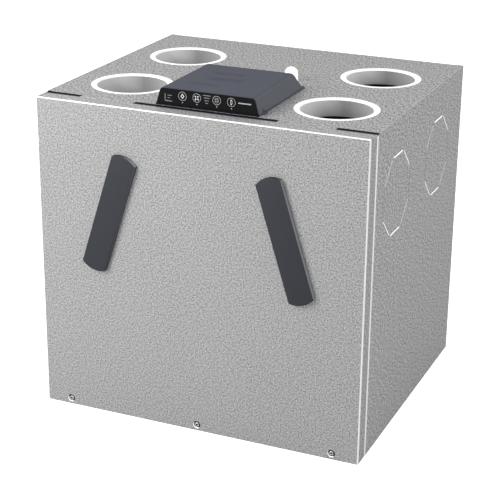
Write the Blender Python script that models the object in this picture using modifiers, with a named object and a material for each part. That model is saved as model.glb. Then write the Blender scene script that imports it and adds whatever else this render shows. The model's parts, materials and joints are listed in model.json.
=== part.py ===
"""Wall-hung heat recovery unit with four duct ports, a screwed door, two filter cassettes, a counterflow heat
exchanger, two radial fans, a bypass flap and a control box.

Frame: +X to the right seen from the door, the door faces -Y, the wall is on the +Y side, +Z up. The origin is
the centre of the case's underside. Dimensions are in millimetres; every mesh is made in metres.
"""

import math

import bmesh
import bpy
from mathutils import Matrix, Vector

for leftover in list(bpy.data.objects):
    bpy.data.objects.remove(leftover)

parts = bpy.data.collections.new("heat_recovery_unit")
cutters = bpy.data.collections.new("cutters")
bpy.context.scene.collection.children.link(parts)
bpy.context.scene.collection.children.link(cutters)

# ---------------------------------------------------------------------------
# dimensions shared by several sections
# ---------------------------------------------------------------------------
MM = 0.001
SIDES = (("left", -1), ("right", 1))

# case
CASE_W = 630.0
CASE_D = 550.0
CASE_H = 600.0
SHEET = 1.0
GAP = 0.3                               # clearance between neighbouring pieces
HALF_W = CASE_W / 2
FRONT = -CASE_D / 2
BACK = CASE_D / 2
SIDE_Z0 = SHEET + GAP                   # foot of the side panels, back panel and foam
TOP_FRONT = -233.2                      # front edge of the top panel

# duct ports: centre (x, y) of each, and the foot of its sleeve
PORT_X = 200.0
PORT_Y_FRONT = -123.5
PORT_Y_REAR = 113.5
PORTS = {
    "front_left": (-PORT_X, PORT_Y_FRONT),
    "front_right": (PORT_X, PORT_Y_FRONT),
    "rear_left": (-PORT_X, PORT_Y_REAR),
    "rear_right": (PORT_X, PORT_Y_REAR),
}
SLEEVE_Z0 = {"front_left": 543.0, "rear_left": 543.0, "front_right": 568.0, "rear_right": 571.0}
SLEEVE_Z1 = 597.4
SLEEVE_R = 65.8
PORT_RIM_R = 75.8
PORT_BORE_R = 64.0

# door screws
SCREW_X = (-264.0, 0.0, 264.0)
SCREW_Z = 12.5
SCREWS = [(x, SCREW_Z) for x in SCREW_X]
SCREW_HOLE_R = 2.9

# filter cassettes
FILTER_X = 170.0
FILTER_Z = 400.0
FILTER_TILT = math.radians(17.5)
FRAME_T = 25.0
FRAME_L = 205.0
SLOT_PLAY = 0.7                         # play round a handle in its slot

# exchanger: half width, and the heights of its six corners
HEX_HALF = 115.0
HEX_Z = (100.0, 215.0, 385.0, 500.0)

# fans
FAN_X = 155.0
FAN_Z = 200.0
FANS = [(sign * FAN_X, FAN_Z) for _, sign in SIDES]
FAN_INLET_R = 65.0

# bypass opening
FLAP_X = (-104.0, -52.0)
FLAP_Z = (456.0, 504.0)

# centres (x, y) of the drain, the cable hole under the control box and the cable gland
DRAIN = (150.0, -100.0)
DRAIN_HOLE_R = 16.6
CABLE = (0.0, -60.0)
GLAND = (57.0, 19.0)

# finish: base colour, roughness, metallic
FINISH = {
    "galvanised": ((0.42, 0.42, 0.43), 0.45, 0.8),
    "foam": ((0.9, 0.9, 0.9), 0.9, 0.0),
    "slate": ((0.07, 0.08, 0.1), 0.6, 0.0),
    "slate_box": ((0.1, 0.11, 0.13), 0.5, 0.0),
    "black": ((0.012, 0.012, 0.014), 0.35, 0.0),
    "seal": ((0.015, 0.015, 0.015), 0.9, 0.0),
    "grey": ((0.5, 0.5, 0.51), 0.5, 0.0),
    "white": ((0.85, 0.85, 0.85), 0.4, 0.0),
    "zinc": ((0.6, 0.6, 0.62), 0.35, 0.9),
    "frame": ((0.8, 0.8, 0.78), 0.8, 0.0),
    "medium": ((0.85, 0.87, 0.9), 0.95, 0.0),
    "core": ((0.62, 0.66, 0.68), 0.4, 0.0),
    "cap": ((0.1, 0.12, 0.13), 0.5, 0.0),
    "strap": ((0.05, 0.05, 0.05), 0.8, 0.0),
    "fan": ((0.03, 0.03, 0.035), 0.55, 0.0),
    "motor": ((0.55, 0.56, 0.58), 0.4, 0.7),
    "board": ((0.02, 0.16, 0.06), 0.5, 0.0),
    "rubber": ((0.03, 0.03, 0.03), 0.85, 0.0),
}
SHARP_ANGLE = math.radians(32)
MERGE = 1e-6                            # welding distance, in metres


# ---------------------------------------------------------------------------
# outlines, all in mm
# ---------------------------------------------------------------------------
def around(half, centre=0.0):
    """The span that reaches half to either side of the centre."""
    return centre - half, centre + half


def side_span(sign, near, far):
    """An x span given for the right side, laid on the side of the sign."""
    return tuple(sorted((sign * near, sign * far)))


def rectangle(x, y):
    return [(x[0], y[0]), (x[1], y[0]), (x[1], y[1]), (x[0], y[1])]


def arc(centre_x, centre_y, radius, start, end, steps):
    angles = [start + (end - start) * i / steps for i in range(steps + 1)]
    return [(centre_x + radius * math.cos(a), centre_y + radius * math.sin(a)) for a in angles]


def mirrored(points, sign):
    return [(x * sign, z) for x, z in points]


def symmetric(half):
    """A right-hand half outline closed with its mirror image."""
    return half + [(-x, y) for x, y in reversed(half)]


def band(line, above, below):
    """A line widened in its second coordinate."""
    return [(a, b + above) for a, b in line] + [(a, b - below) for a, b in reversed(line)]


# ---------------------------------------------------------------------------
# makers
# ---------------------------------------------------------------------------
def material(name, finish):
    colour, roughness, metallic = FINISH[finish]
    made = bpy.data.materials.new(name)
    made.use_nodes = True
    shader = made.node_tree.nodes["Principled BSDF"]
    shader.inputs["Base Color"].default_value = (*colour, 1.0)
    shader.inputs["Roughness"].default_value = roughness
    shader.inputs["Metallic"].default_value = metallic
    made.diffuse_color = (*colour, 1.0)
    return made


def place(name, mesh, finish=None, origin=(0, 0, 0)):
    """An object whose mesh is given in world metres, with its own origin at the given point in mm."""
    location = Vector(origin) * MM
    mesh.transform(Matrix.Translation(-location))
    mesh.name = name
    obj = bpy.data.objects.new(name, mesh)
    obj.location = location
    parts.objects.link(obj)
    if finish:
        mesh.materials.clear()
        mesh.materials.append(material(name, finish))
    mesh.shade_smooth()
    mesh.set_sharp_from_angle(angle=SHARP_ANGLE)
    return obj


def bmesh_to_mesh(bm, name="shape"):
    mesh = bpy.data.meshes.new(name)
    bm.to_mesh(mesh)
    bm.free()
    return mesh


def solid_mesh(bm):
    bmesh.ops.recalc_face_normals(bm, faces=bm.faces)
    return bmesh_to_mesh(bm)


def welded(mesh):
    """The mesh as a solid with its doubled vertices merged; the given one is removed."""
    bm = bmesh.new()
    bm.from_mesh(mesh)
    bmesh.ops.remove_doubles(bm, verts=bm.verts, dist=MERGE)
    bpy.data.meshes.remove(mesh)
    return solid_mesh(bm)


def evaluated_mesh(guide):
    """The mesh a guide object gives; the guide is removed."""
    bpy.context.view_layer.update()
    evaluated = guide.evaluated_get(bpy.context.evaluated_depsgraph_get())
    mesh = bpy.data.meshes.new_from_object(evaluated)
    bpy.data.objects.remove(guide)
    return mesh


def at(x, y, z):
    return Matrix.Translation(Vector((x, y, z)) * MM)


# local +Z towards the door (world -Y), towards the wall (world +Y) or to the right (world +X)
TO_DOOR = Matrix.Rotation(math.radians(90), 4, "X")
TO_WALL = Matrix.Rotation(math.radians(-90), 4, "X")
TO_RIGHT = Matrix.Rotation(math.radians(90), 4, "Y")


def cube(bm, x, y, z):
    size = [(high - low) * MM for low, high in (x, y, z)]
    centre = [(low + high) / 2 for low, high in (x, y, z)]
    bmesh.ops.create_cube(bm, size=1.0, matrix=at(*centre) @ Matrix.Diagonal((*size, 1.0)))


def bevel(bm, edges, offset, segments):
    bmesh.ops.bevel(
        bm, geom=edges, offset=offset * MM, segments=segments, affect="EDGES", profile=0.5
    )


def block(name, x, y, z, finish=None, rounding=0.0, origin=(0, 0, 0)):
    bm = bmesh.new()
    cube(bm, x, y, z)
    if rounding:
        bevel(bm, list(bm.edges), rounding, 2)
    return place(name, solid_mesh(bm), finish, origin)


def blocks(name, *spans):
    bm = bmesh.new()
    for x, y, z in spans:
        cube(bm, x, y, z)
    return place(name, solid_mesh(bm))


PLANES = {
    # rows: local x, local y, local z in world axes
    "XY": Matrix(((1, 0, 0), (0, 1, 0), (0, 0, 1))).transposed(),
    "XZ": Matrix(((1, 0, 0), (0, 0, 1), (0, -1, 0))).transposed(),
    "YZ": Matrix(((0, 1, 0), (0, 0, 1), (1, 0, 0))).transposed(),
}


def slab_mesh(loops, span, plane="XZ", frame=None):
    """A flat outline with holes, thickened over the span along the plane's normal axis."""
    low, high = span
    curve = bpy.data.curves.new("outline", "CURVE")
    curve.dimensions = "2D"
    curve.fill_mode = "BOTH"
    curve.extrude = (high - low) / 2 * MM
    for loop in loops:
        spline = curve.splines.new("POLY")
        spline.points.add(len(loop) - 1)
        for point, (a, b) in zip(spline.points, loop):
            point.co = (a * MM, b * MM, 0, 1)
        spline.use_cyclic_u = True
    guide = bpy.data.objects.new("outline", curve)
    cutters.objects.link(guide)
    mesh = evaluated_mesh(guide)
    bpy.data.curves.remove(curve)
    middle = (low + high) / 2 * MM
    along = {"XY": (0, 0, middle), "XZ": (0, middle, 0), "YZ": (middle, 0, 0)}[plane]
    mesh.transform(Matrix.Translation(along) @ PLANES[plane].to_4x4())
    if frame is not None:
        mesh.transform(frame)
    return welded(mesh)


def slab(name, loops, span, plane="XZ", finish=None, frame=None, origin=(0, 0, 0)):
    return place(name, slab_mesh(loops, span, plane, frame), finish, origin)


def turned_mesh(profile, segments, closed, matrix):
    """A profile of (radius, height) points turned about local Z, then put in place."""
    mesh = bpy.data.meshes.new("profile")
    points = [(r * MM, 0, h * MM) for r, h in profile]
    edges = [(i, i + 1) for i in range(len(points) - 1)]
    if closed:
        edges.append((len(points) - 1, 0))
    mesh.from_pydata(points, edges, [])
    guide = bpy.data.objects.new("profile", mesh)
    cutters.objects.link(guide)
    screw = guide.modifiers.new("Turn", "SCREW")
    screw.axis = "Z"
    screw.angle = 2 * math.pi
    screw.steps = screw.render_steps = segments
    screw.use_merge_vertices = True
    screw.merge_threshold = 0.00001
    screw.use_smooth_shade = True
    made = evaluated_mesh(guide)
    bpy.data.meshes.remove(mesh)
    out = welded(made)
    out.transform(matrix)
    return out


def turned(
    name, profile, where, finish, segments, closed=True, turn=Matrix.Identity(4), origin=(0, 0, 0)
):
    mesh = turned_mesh(profile, segments, closed, at(*where) @ turn)
    return place(name, mesh, finish, origin)


def drum(bm, radius, low, high, centre, segments, axis="Z", top_radius=None):
    """A cylinder, or truncated cone, from low to high on the axis, centred on the other two values."""
    middle = (low + high) / 2
    if axis == "Z":
        matrix = at(*centre, middle)
    elif axis == "Y":
        matrix = at(centre[0], middle, centre[1]) @ TO_WALL
    else:
        matrix = at(middle, *centre) @ TO_RIGHT
    bmesh.ops.create_cone(
        bm,
        cap_ends=True,
        segments=segments,
        radius1=radius * MM,
        radius2=(radius if top_radius is None else top_radius) * MM,
        depth=(high - low) * MM,
        matrix=matrix,
    )


def drums(name, *items):
    bm = bmesh.new()
    for item in items:
        drum(bm, **item)
    return place(name, solid_mesh(bm))


def like_drums(name, centres, **size):
    return drums(name, *[dict(centre=centre, **size) for centre in centres])


def combine(target, others, operation):
    """Boolean modifiers on the target; the other objects become hidden helpers."""
    for other in others:
        parts.objects.unlink(other)
        cutters.objects.link(other)
        other.hide_render = True
        other.display_type = "WIRE"
        modifier = target.modifiers.new(other.name, "BOOLEAN")
        modifier.operation = operation
        modifier.object = other
        modifier.solver = "EXACT"


def cut(target, *others):
    combine(target, others, "DIFFERENCE")


def join(target, *others):
    combine(target, others, "UNION")


def shell(obj, thickness=SHEET):
    modifier = obj.modifiers.new("Sheet", "SOLIDIFY")
    modifier.thickness = thickness * MM
    modifier.offset = -1.0
    modifier.use_even_offset = True
    return obj


DIRECTIONS = {"+Y": (0, 1, 0), "-Y": (0, -1, 0), "+Z": (0, 0, 1), "-Z": (0, 0, -1)}


def open_box(name, x, y, z, open_sides, bend, finish, thickness=SHEET, segments=2):
    """A folded sheet box: faces left out, outer edges bent round, then given the sheet's thickness."""
    bm = bmesh.new()
    cube(bm, x, y, z)
    bm.normal_update()
    gone = [
        f for f in bm.faces for side in open_sides if f.normal.dot(Vector(DIRECTIONS[side])) > 0.9
    ]
    bmesh.ops.delete(bm, geom=gone, context="FACES")
    if bend:
        bevel(bm, [e for e in bm.edges if len(e.link_faces) == 2], bend, segments)
    return shell(place(name, bmesh_to_mesh(bm, name), finish), thickness)


# ---------------------------------------------------------------------------
# case
# ---------------------------------------------------------------------------
PANEL_X = around(HALF_W - SHEET - GAP)  # top and bottom panels sit between the side panels
PANEL_BACK = BACK - SHEET - GAP
PANEL_BEND = 1.2
TOP_SKIRT_Z = 588.0
BOTTOM_FRONT = -243.5
BOTTOM_SKIRT_Z = 22.0
BACK_PANEL_TOP = 599.6

TONGUE_X = ((136.5, 242.0), (-242.0, -136.5))
TONGUE_T = 0.9
# upper face of a tongue (y, z), from the top panel forward and down under the door's edge
TONGUE_LINE = [(-230.0, 599.95), (-241.2, 599.95), (-242.9, 598.65), (-252.0, 598.65)]

SIDE_FRONT = -242.0                     # front return of the side panels
RETURN_X = 303.0                        # inner edge of the returns
SIDE_BEND = 1.5
BEND_STEPS = 3

# octagonal knockouts in the side panels
OCT_FLATS = 142.0
OCT_SIDE = OCT_FLATS * math.tan(math.radians(22.5))
OCT_Y = (-123.0, 118.0)
OCT_Z = 462.0
OCT_SLIT = 1.6
OCT_BRIDGE = 4.0                        # metal left between a slit's end and the corner
OCT_CUT_DEPTH = 6.0


def build_top_panel():
    z_through = dict(low=590, high=606)
    panel = open_box(
        "top_panel", PANEL_X, (TOP_FRONT, PANEL_BACK), (TOP_SKIRT_Z, CASE_H),
        ("-Z", "-Y"), PANEL_BEND, "galvanised",
    )
    cut(
        panel,
        like_drums(
            "top_panel_ports", PORTS.values(), radius=PORT_RIM_R + GAP, segments=48, **z_through
        ),
        drums(
            "top_panel_cables",
            dict(radius=9.0, centre=CABLE, segments=24, **z_through),
            dict(radius=5.5, centre=GLAND, segments=24, **z_through),
        ),
    )
    for index, span in enumerate(TONGUE_X):
        join(panel, slab("door_tongue_%d" % index, [band(TONGUE_LINE, 0, TONGUE_T)], span, "YZ"))


def build_bottom_panel():
    panel = open_box(
        "bottom_panel", PANEL_X, (BOTTOM_FRONT, PANEL_BACK), (0.0, BOTTOM_SKIRT_Z),
        ("+Z",), PANEL_BEND, "galvanised",
    )
    cut(
        panel,
        like_drums(
            "bottom_panel_drain", [DRAIN], radius=DRAIN_HOLE_R, low=-5, high=8, segments=32
        ),
        like_drums(
            "bottom_panel_screws", SCREWS,
            radius=SCREW_HOLE_R, low=-250, high=-238, axis="Y", segments=16,
        ),
    )


def build_back_panel():
    outline = rectangle(around(RETURN_X - GAP), (SIDE_Z0, BACK_PANEL_TOP))
    slab("back_panel", [outline], (BACK - SHEET, BACK), finish="galvanised")


def side_sheet(name, sign):
    """A sheet with a return folded in at the back and at the front."""
    bend_x = HALF_W - SIDE_BEND
    quarter = math.pi / 2
    corners = [
        (RETURN_X, BACK),
        *arc(bend_x, BACK - SIDE_BEND, SIDE_BEND, quarter, 0, BEND_STEPS),
        *arc(bend_x, SIDE_FRONT + SIDE_BEND, SIDE_BEND, 0, -quarter, BEND_STEPS),
        (RETURN_X, SIDE_FRONT),
    ]
    bm = bmesh.new()
    low = [bm.verts.new((sign * x * MM, y * MM, SIDE_Z0 * MM)) for x, y in corners]
    edges = [bm.edges.new(pair) for pair in zip(low, low[1:])]
    raised = bmesh.ops.extrude_edge_only(bm, edges=edges)
    top = [g for g in raised["geom"] if isinstance(g, bmesh.types.BMVert)]
    bmesh.ops.translate(bm, verts=top, vec=(0, 0, (CASE_H - SIDE_Z0) * MM))
    bm.normal_update()
    widest = max(bm.faces, key=lambda f: f.calc_area())
    if widest.normal.x * sign < 0:
        bmesh.ops.reverse_faces(bm, faces=bm.faces)
    return shell(place(name, bmesh_to_mesh(bm, name), "galvanised"))


def octagon_slits(name, sign):
    bm = bmesh.new()
    size = (OCT_CUT_DEPTH * MM, OCT_SLIT * MM, (OCT_SIDE - 2 * OCT_BRIDGE) * MM, 1.0)
    for y in OCT_Y:
        for k in range(8):
            matrix = (
                at(sign * (HALF_W - SHEET / 2), y, OCT_Z)
                @ Matrix.Rotation(math.radians(45 * k), 4, "X")
                @ at(0, OCT_FLATS / 2, 0)
                @ Matrix.Diagonal(size)
            )
            bmesh.ops.create_cube(bm, size=1.0, matrix=matrix)
    return place(name, solid_mesh(bm))


def build_side_panels():
    for label, sign in SIDES:
        name = "side_panel_" + label
        # the notch clears the upper front corner, the foot cut the lower end of the front return
        cut(
            side_sheet(name, sign),
            octagon_slits(name + "_slits", sign),
            block(
                name + "_notch", around(14, sign * 314.5), (-246.0, TOP_FRONT - 0.3), (596.6, 605.0)
            ),
            block(name + "_foot", side_span(sign, 298.0, 314.0), (-246.0, -240.2), (-4.0, 22.6)),
        )


# ---------------------------------------------------------------------------
# foam bodies
# ---------------------------------------------------------------------------
EPS_FRONT = -240.7
EPS_SPLIT = 30.0
EPS_REAR = 272.0
EPS_TOP = 597.3
# right half of the foam's outline (x, z)
EPS_HALF = [
    (311.0, SIDE_Z0), (311.0, 22.4), (313.6, 25.0), (313.6, 584.0), (311.0, 586.6), (311.0, EPS_TOP),
]
LIP_R = PORT_BORE_R + 0.2
LIP_TOP_R = PORT_BORE_R + 6.8

# chambers of the front body, right-hand side (x, z)
CHAMBERS = {
    "outer_chamber_": [
        (150, 482), (163, 500), (137, 522), (137, 546), (284, 546), (284, 300), (222, 300), (198, 328),
    ],
    "inner_chamber_": [
        (9, 488), (98, 399), (124, 398), (180, 345), (138, 480), (112, 510), (9, 510),
    ],
    "lower_plenum_": [
        (9, 112), (98, 202), (124, 203), (150, 268), (284, 268), (284, 46), (9, 46),
    ],
}
CHAMBER_Y = (-250, 10)
FRONT_WALL_Y = (5, 36)                  # passes through the front body's rear wall
SEAT_PLAY = 0.8
POCKET_PLAY = 0.9

# spiral of a fan scroll
SCROLL_R0 = 95.0
SCROLL_R1 = 120.0
SCROLL_START = math.radians(70)
SCROLL_END = math.radians(360)
SCROLL_STEPS = 18
SCROLL_WALL = 2.0
SCROLL_POCKET = 2.7                     # growth of the scroll's pocket in the foam

SEAL_Z0 = 541.0
SHORT_SLEEVE_Z = 560.0                  # a sleeve whose foot lies above this gets a seal ring


def filter_frame(sign):
    """Tilted axes of a cassette at its strip's centre: x across the strip, z up it, y unchanged."""
    return at(sign * FILTER_X, 0, FILTER_Z) @ Matrix.Rotation(-sign * FILTER_TILT, 4, "Y")


def hexagon(grow):
    """Outline of the exchanger, grown outwards by the given amount."""
    tip = grow * math.sqrt(2)
    shoulder = grow * math.tan(math.radians(22.5))
    z0, z1, z2, z3 = HEX_Z
    side = HEX_HALF + grow
    return [
        (0, z0 - tip), (side, z1 - shoulder), (side, z2 + shoulder),
        (0, z3 + tip), (-side, z2 + shoulder), (-side, z1 - shoulder),
    ]


def scroll_outline(grow, top):
    """Right-hand spiral, seen from the door, widening from the tongue to an outlet that rises to top."""
    wall = SCROLL_R0 * math.cos(SCROLL_START) - grow
    sweep = SCROLL_END - SCROLL_START
    # a grown spiral starts a little further round, where it meets the outlet's straight wall
    angles = [math.acos(wall / (SCROLL_R0 + grow))]
    angles += [SCROLL_START + sweep * i / SCROLL_STEPS for i in range(1, SCROLL_STEPS + 1)]
    points = []
    for a in angles:
        r = SCROLL_R0 + (SCROLL_R1 - SCROLL_R0) * (a - SCROLL_START) / sweep + grow
        points.append((FAN_X + r * math.cos(a), FAN_Z + r * math.sin(a)))
    points.append((FAN_X + SCROLL_R1 + grow, top))
    points.append((FAN_X + wall, top))
    return points


def foam_body(name, y, ports):
    """A foam body with its port collars, their sloping lips and the bores for the sleeves."""
    body = slab(name, [symmetric(EPS_HALF)], y, finish="foam")
    centres = [PORTS[port] for port in ports]

    def on_ports(suffix, **size):
        return like_drums(name + suffix, centres, segments=48, **size)

    join(body, on_ports("_collars", radius=PORT_RIM_R, low=570, high=CASE_H))
    cut(
        body,
        on_ports("_lips", radius=LIP_R, low=560, high=597.5),
        on_ports("_lip_slopes", radius=LIP_R, top_radius=LIP_TOP_R, low=597.4, high=606),
        on_ports("_bores", radius=SLEEVE_R + GAP, low=538, high=SLEEVE_Z1 + GAP),
    )
    return body


def build_front_body():
    body = foam_body("eps_body_front", (EPS_FRONT, EPS_SPLIT), ("front_left", "front_right"))
    cut(body, slab("exchanger_seat", [hexagon(SEAT_PLAY)], (-250, 8)))
    pocket = rectangle(around(FRAME_T / 2 + POCKET_PLAY), around(FRAME_L / 2 + POCKET_PLAY))
    for label, sign in SIDES:
        for name, outline in CHAMBERS.items():
            cut(body, slab(name + label, [mirrored(outline, sign)], CHAMBER_Y))
        cut(body, slab("filter_pocket_" + label, [pocket], (-250, 9), frame=filter_frame(sign)))
    cut(
        body,
        block("gasket_rebate", around(330), (-250, TOP_FRONT + 0.3), (589.5, 610)),
        like_drums(
            "fan_inlets_front", FANS,
            radius=FAN_INLET_R, low=FRONT_WALL_Y[0], high=FRONT_WALL_Y[1], axis="Y", segments=24,
        ),
        blocks(
            "bypass_windows",
            (FLAP_X, FRONT_WALL_Y, FLAP_Z),
            ((50, 105), FRONT_WALL_Y, (100, 145)),
        ),
        like_drums("eps_drain", [DRAIN], radius=DRAIN_HOLE_R, low=-5, high=50, segments=32),
    )


def build_rear_body():
    body = foam_body("eps_body_rear", (EPS_SPLIT + GAP, EPS_REAR), ("rear_left", "rear_right"))
    pocket = scroll_outline(SCROLL_POCKET, 301.0)
    for label, sign in SIDES:
        cut(
            body,
            slab("scroll_pocket_" + label, [mirrored(pocket, sign)], (64.5, 162)),
            block("riser_" + label, side_span(sign, 146, 272), (70, 156), (298, 550)),
        )
    cut(
        body,
        like_drums(
            "fan_inlets_rear", FANS, radius=FAN_INLET_R, low=25, high=70, axis="Y", segments=24
        ),
        block("bypass_channel", (-114, 66), (25, 52), (96, 514)),
        block("bypass_flap_room", (-113, -4), (28, 96), (442, 513)),
        block("bypass_outlet", (48, 110), (25, 51), (97, 148)),
    )


def port_ring(name, centre, low, high, finish):
    profile = [(SLEEVE_R, high), (SLEEVE_R, low), (PORT_BORE_R, low), (PORT_BORE_R, high)]
    turned(name, profile, (*centre, 0), finish, segments=48)


def build_port_sleeves():
    for name, centre in PORTS.items():
        foot = SLEEVE_Z0[name]
        port_ring("port_sleeve_" + name, centre, foot, SLEEVE_Z1, "grey")
        if foot > SHORT_SLEEVE_Z:
            # the short sleeves end on a dark seal ring that lines the rest of the bore
            port_ring("port_seal_" + name, centre, SEAL_Z0, foot - GAP, "seal")


# ---------------------------------------------------------------------------
# door
# ---------------------------------------------------------------------------
DOOR_BACK = -244.0
DOOR_TOP_BACK = -243.4
DOOR_Z0 = 0.3
DOOR_BEND = 2.5
INSULATION_BACK = -245.0
INSULATION_Z = (24.0, 597.2)

HANDLE_W = 48.0
HANDLE_SIDE = 216.0                     # length of the handle's straight sides
HANDLE_SAG = 7.5                        # rise of its curved ends
HANDLE_STEPS = 10

GASKET_X = 302.3
GASKET_Z = (27, 594.0)
GASKET_Y = (-244.7, -241.0)
# opening of the gasket (x, z), with tabs reaching in from all four sides
GASKET_HOLE = [
    (-286, 43), (-6, 43), (-6, 90), (6, 90), (6, 43), (286, 43), (286, 276), (124, 276),
    (124, 290), (286, 290), (286, 573), (6, 573), (6, 520), (-6, 520), (-6, 573), (-286, 573),
    (-286, 290), (-124, 290), (-124, 276), (-286, 276),
]
# x spans of the seals beside and between the door tongues
SLOT_SEAL_X = ((-312.6, -242.5), (-136.0, 136.0), (242.5, 312.6))
SLOT_SEAL_BACK = TOP_FRONT - 0.4
SEAL_ROOT_X = 302.0

# pan head on a shank: radius, height towards the door
SCREW_PROFILE = [
    (0.0, 2.6), (1.6, 2.6), (3.0, 2.35), (3.9, 1.7), (4.2, 0.9), (4.2, 0.0), (2.4, 0.0),
    (2.4, -30.0), (1.8, -31.0), (0.0, -31.0),
]


def handle_outline(grow):
    """A strip with straight long sides and shallow convex ends."""
    half = HANDLE_W / 2
    radius = (half**2 + HANDLE_SAG**2) / (2 * HANDLE_SAG)
    swing = math.asin(half / radius)
    centre_z = HANDLE_SIDE / 2 + HANDLE_SAG - radius
    up = math.pi / 2
    points = arc(0, centre_z, radius + grow, up - swing, up + swing, HANDLE_STEPS)
    # the ends keep the strip's full width
    points[0] = (half + grow, points[0][1])
    points[-1] = (-half - grow, points[-1][1])
    return points + [(-x, -z) for x, z in points]


def cut_handle_slots(target, prefix, y):
    for label, sign in SIDES:
        outline = handle_outline(SLOT_PLAY)
        cut(target, slab(prefix + label, [outline], y, frame=filter_frame(sign)))


def build_door_skin():
    skin = open_box(
        "door_skin", around(HALF_W), (FRONT, DOOR_TOP_BACK), (DOOR_Z0, CASE_H),
        ("+Y",), DOOR_BEND, "galvanised", segments=3,
    )

    def on_screws(name, radius, front, back, segments, **more):
        size = dict(radius=radius, low=FRONT + front, high=FRONT + back, segments=segments)
        return like_drums(name, SCREWS, axis="Y", **size, **more)

    join(skin, on_screws("screw_bosses", 8.3, 0.4, 4.0, 20))
    cut(
        skin,
        block("flange_trim", around(330), (DOOR_BACK, -230), (-10, 597.3)),
        on_screws("screw_dishes", 7.6, -0.4, 3.0, 20, top_radius=5.2),
        on_screws("screw_clearance", SCREW_HOLE_R, -2, 8, 12),
    )
    cut_handle_slots(skin, "handle_slot_", (-285, -262))


def build_door_insulation():
    front = FRONT + SHEET + GAP
    foam = block(
        "door_insulation", around(313.0), (front, INSULATION_BACK), INSULATION_Z, "foam"
    )
    cut_handle_slots(foam, "plug_slot_", (-285, -235))


def build_door_gasket():
    outline = rectangle(around(GASKET_X), GASKET_Z)
    gasket = slab("door_gasket", [outline, GASKET_HOLE], GASKET_Y, finish="seal")
    for index, (x0, x1) in enumerate(SLOT_SEAL_X):
        root_x = (max(x0, -SEAL_ROOT_X), min(x1, SEAL_ROOT_X))
        join(
            gasket,
            block("slot_seal_%d" % index, (x0, x1), (-243.9, SLOT_SEAL_BACK), (597.45, 598.5)),
            block(
                "slot_seal_crown_%d" % index,
                (x0 + 0.4, x1 - 0.4),
                (DOOR_TOP_BACK + 0.3, SLOT_SEAL_BACK),
                (598.2, 599.6),
            ),
            block("slot_seal_root_%d" % index, root_x, (-244.4, TOP_FRONT - 0.7), (591.0, 598.2)),
        )


def build_door_screws():
    for label, x in zip(("left", "centre", "right"), SCREW_X):
        screw = turned(
            "door_screw_" + label, SCREW_PROFILE, (x, FRONT + 2.7, SCREW_Z), "zinc",
            segments=16, closed=False, turn=TO_DOOR, origin=(x, FRONT, SCREW_Z),
        )
        # hexagon socket
        socket = dict(radius=2.2, low=FRONT - 1.0, high=FRONT + 1.9, axis="Y", segments=6)
        cut(screw, like_drums("socket_" + label, [(x, SCREW_Z)], **socket))


# ---------------------------------------------------------------------------
# filter cassettes
# ---------------------------------------------------------------------------
HANDLE_FRONT = -283.0
HANDLE_BACK = -268.3
PLUG_HALF_W = 21.5
PLUG_HALF_L = 105.0
PLUG_BACK = -243.5
FRAME_Y = (-243.2, 4.0)
FRAME_LIP = 4.0
MEDIUM_FOLDS = 20
MEDIUM_END_PLAY = 2.0                   # from the lip to the first and last ridge
MEDIUM_SIDE_PLAY = 0.5
MEDIUM_REACH = FRAME_T / 2 - 1.8        # ridges from the cassette's middle plane
MEDIUM_HALF_T = 1.6


def filter_handle(label, tilt, origin):
    handle = slab(
        "filter_handle_" + label, [handle_outline(0.0)], (HANDLE_FRONT, HANDLE_BACK),
        finish="slate", frame=tilt, origin=origin,
    )
    rounding = handle.modifiers.new("Soft edge", "BEVEL")
    rounding.width = 0.0012
    rounding.segments = 2
    rounding.limit_method = "ANGLE"
    rounding.angle_limit = math.radians(50)


def filter_plug(label, tilt, origin):
    outline = rectangle(around(PLUG_HALF_W), around(PLUG_HALF_L))
    slab(
        "filter_plug_" + label, [outline], (HANDLE_BACK + GAP, PLUG_BACK),
        finish="foam", frame=tilt, origin=origin,
    )


def filter_ring(label, tilt, origin):
    """A flat ring over the strip's length and the depth, as thick as the cassette."""
    inner_y = (FRAME_Y[0] + FRAME_LIP, FRAME_Y[1] - FRAME_LIP)
    outer = rectangle(around(FRAME_L / 2), FRAME_Y)
    inner = rectangle(around(FRAME_L / 2 - FRAME_LIP), inner_y)
    slab(
        "filter_frame_" + label, [outer, inner], around(FRAME_T / 2), "XY", "frame",
        frame=tilt @ TO_RIGHT, origin=origin,
    )


def filter_medium(label, tilt, origin):
    """One folded sheet that zigzags across the cassette's thickness."""
    y0 = FRAME_Y[0] + FRAME_LIP + MEDIUM_END_PLAY
    y1 = FRAME_Y[1] - FRAME_LIP - MEDIUM_END_PLAY
    pitch = (y1 - y0) / MEDIUM_FOLDS
    ridges = [
        (y0 + pitch * i, MEDIUM_REACH * (1 if i % 2 else -1)) for i in range(MEDIUM_FOLDS + 1)
    ]
    # local x is the depth, local y the cassette's thickness, local z the strip's length
    turn = Matrix(((0, 1, 0, 0), (1, 0, 0, 0), (0, 0, -1, 0), (0, 0, 0, 1)))
    slab(
        "filter_medium_" + label, [band(ridges, MEDIUM_HALF_T, MEDIUM_HALF_T)],
        around(FRAME_L / 2 - FRAME_LIP - MEDIUM_SIDE_PLAY), "XY", "medium",
        frame=tilt @ turn, origin=origin,
    )


def build_filters():
    for label, sign in SIDES:
        for piece in (filter_handle, filter_plug, filter_ring, filter_medium):
            piece(label, filter_frame(sign), (sign * FILTER_X, FRONT, FILTER_Z))


# ---------------------------------------------------------------------------
# exchanger
# ---------------------------------------------------------------------------
CORE_Y = (-211.0, 1.0)
CORE_INSET = 0.6
CAP_REACH = 4.0                         # from the core's end to the cap's outer face
STRAP_HALF_L = 62
STRAP_BOW = 13
STRAP_FOOT = 1.2                        # from the strap's centreline to its foot plane
STRAP_HALF_T = 0.9
STRAP_STEPS = 12
STRAP_Z = (288, 312)


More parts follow.
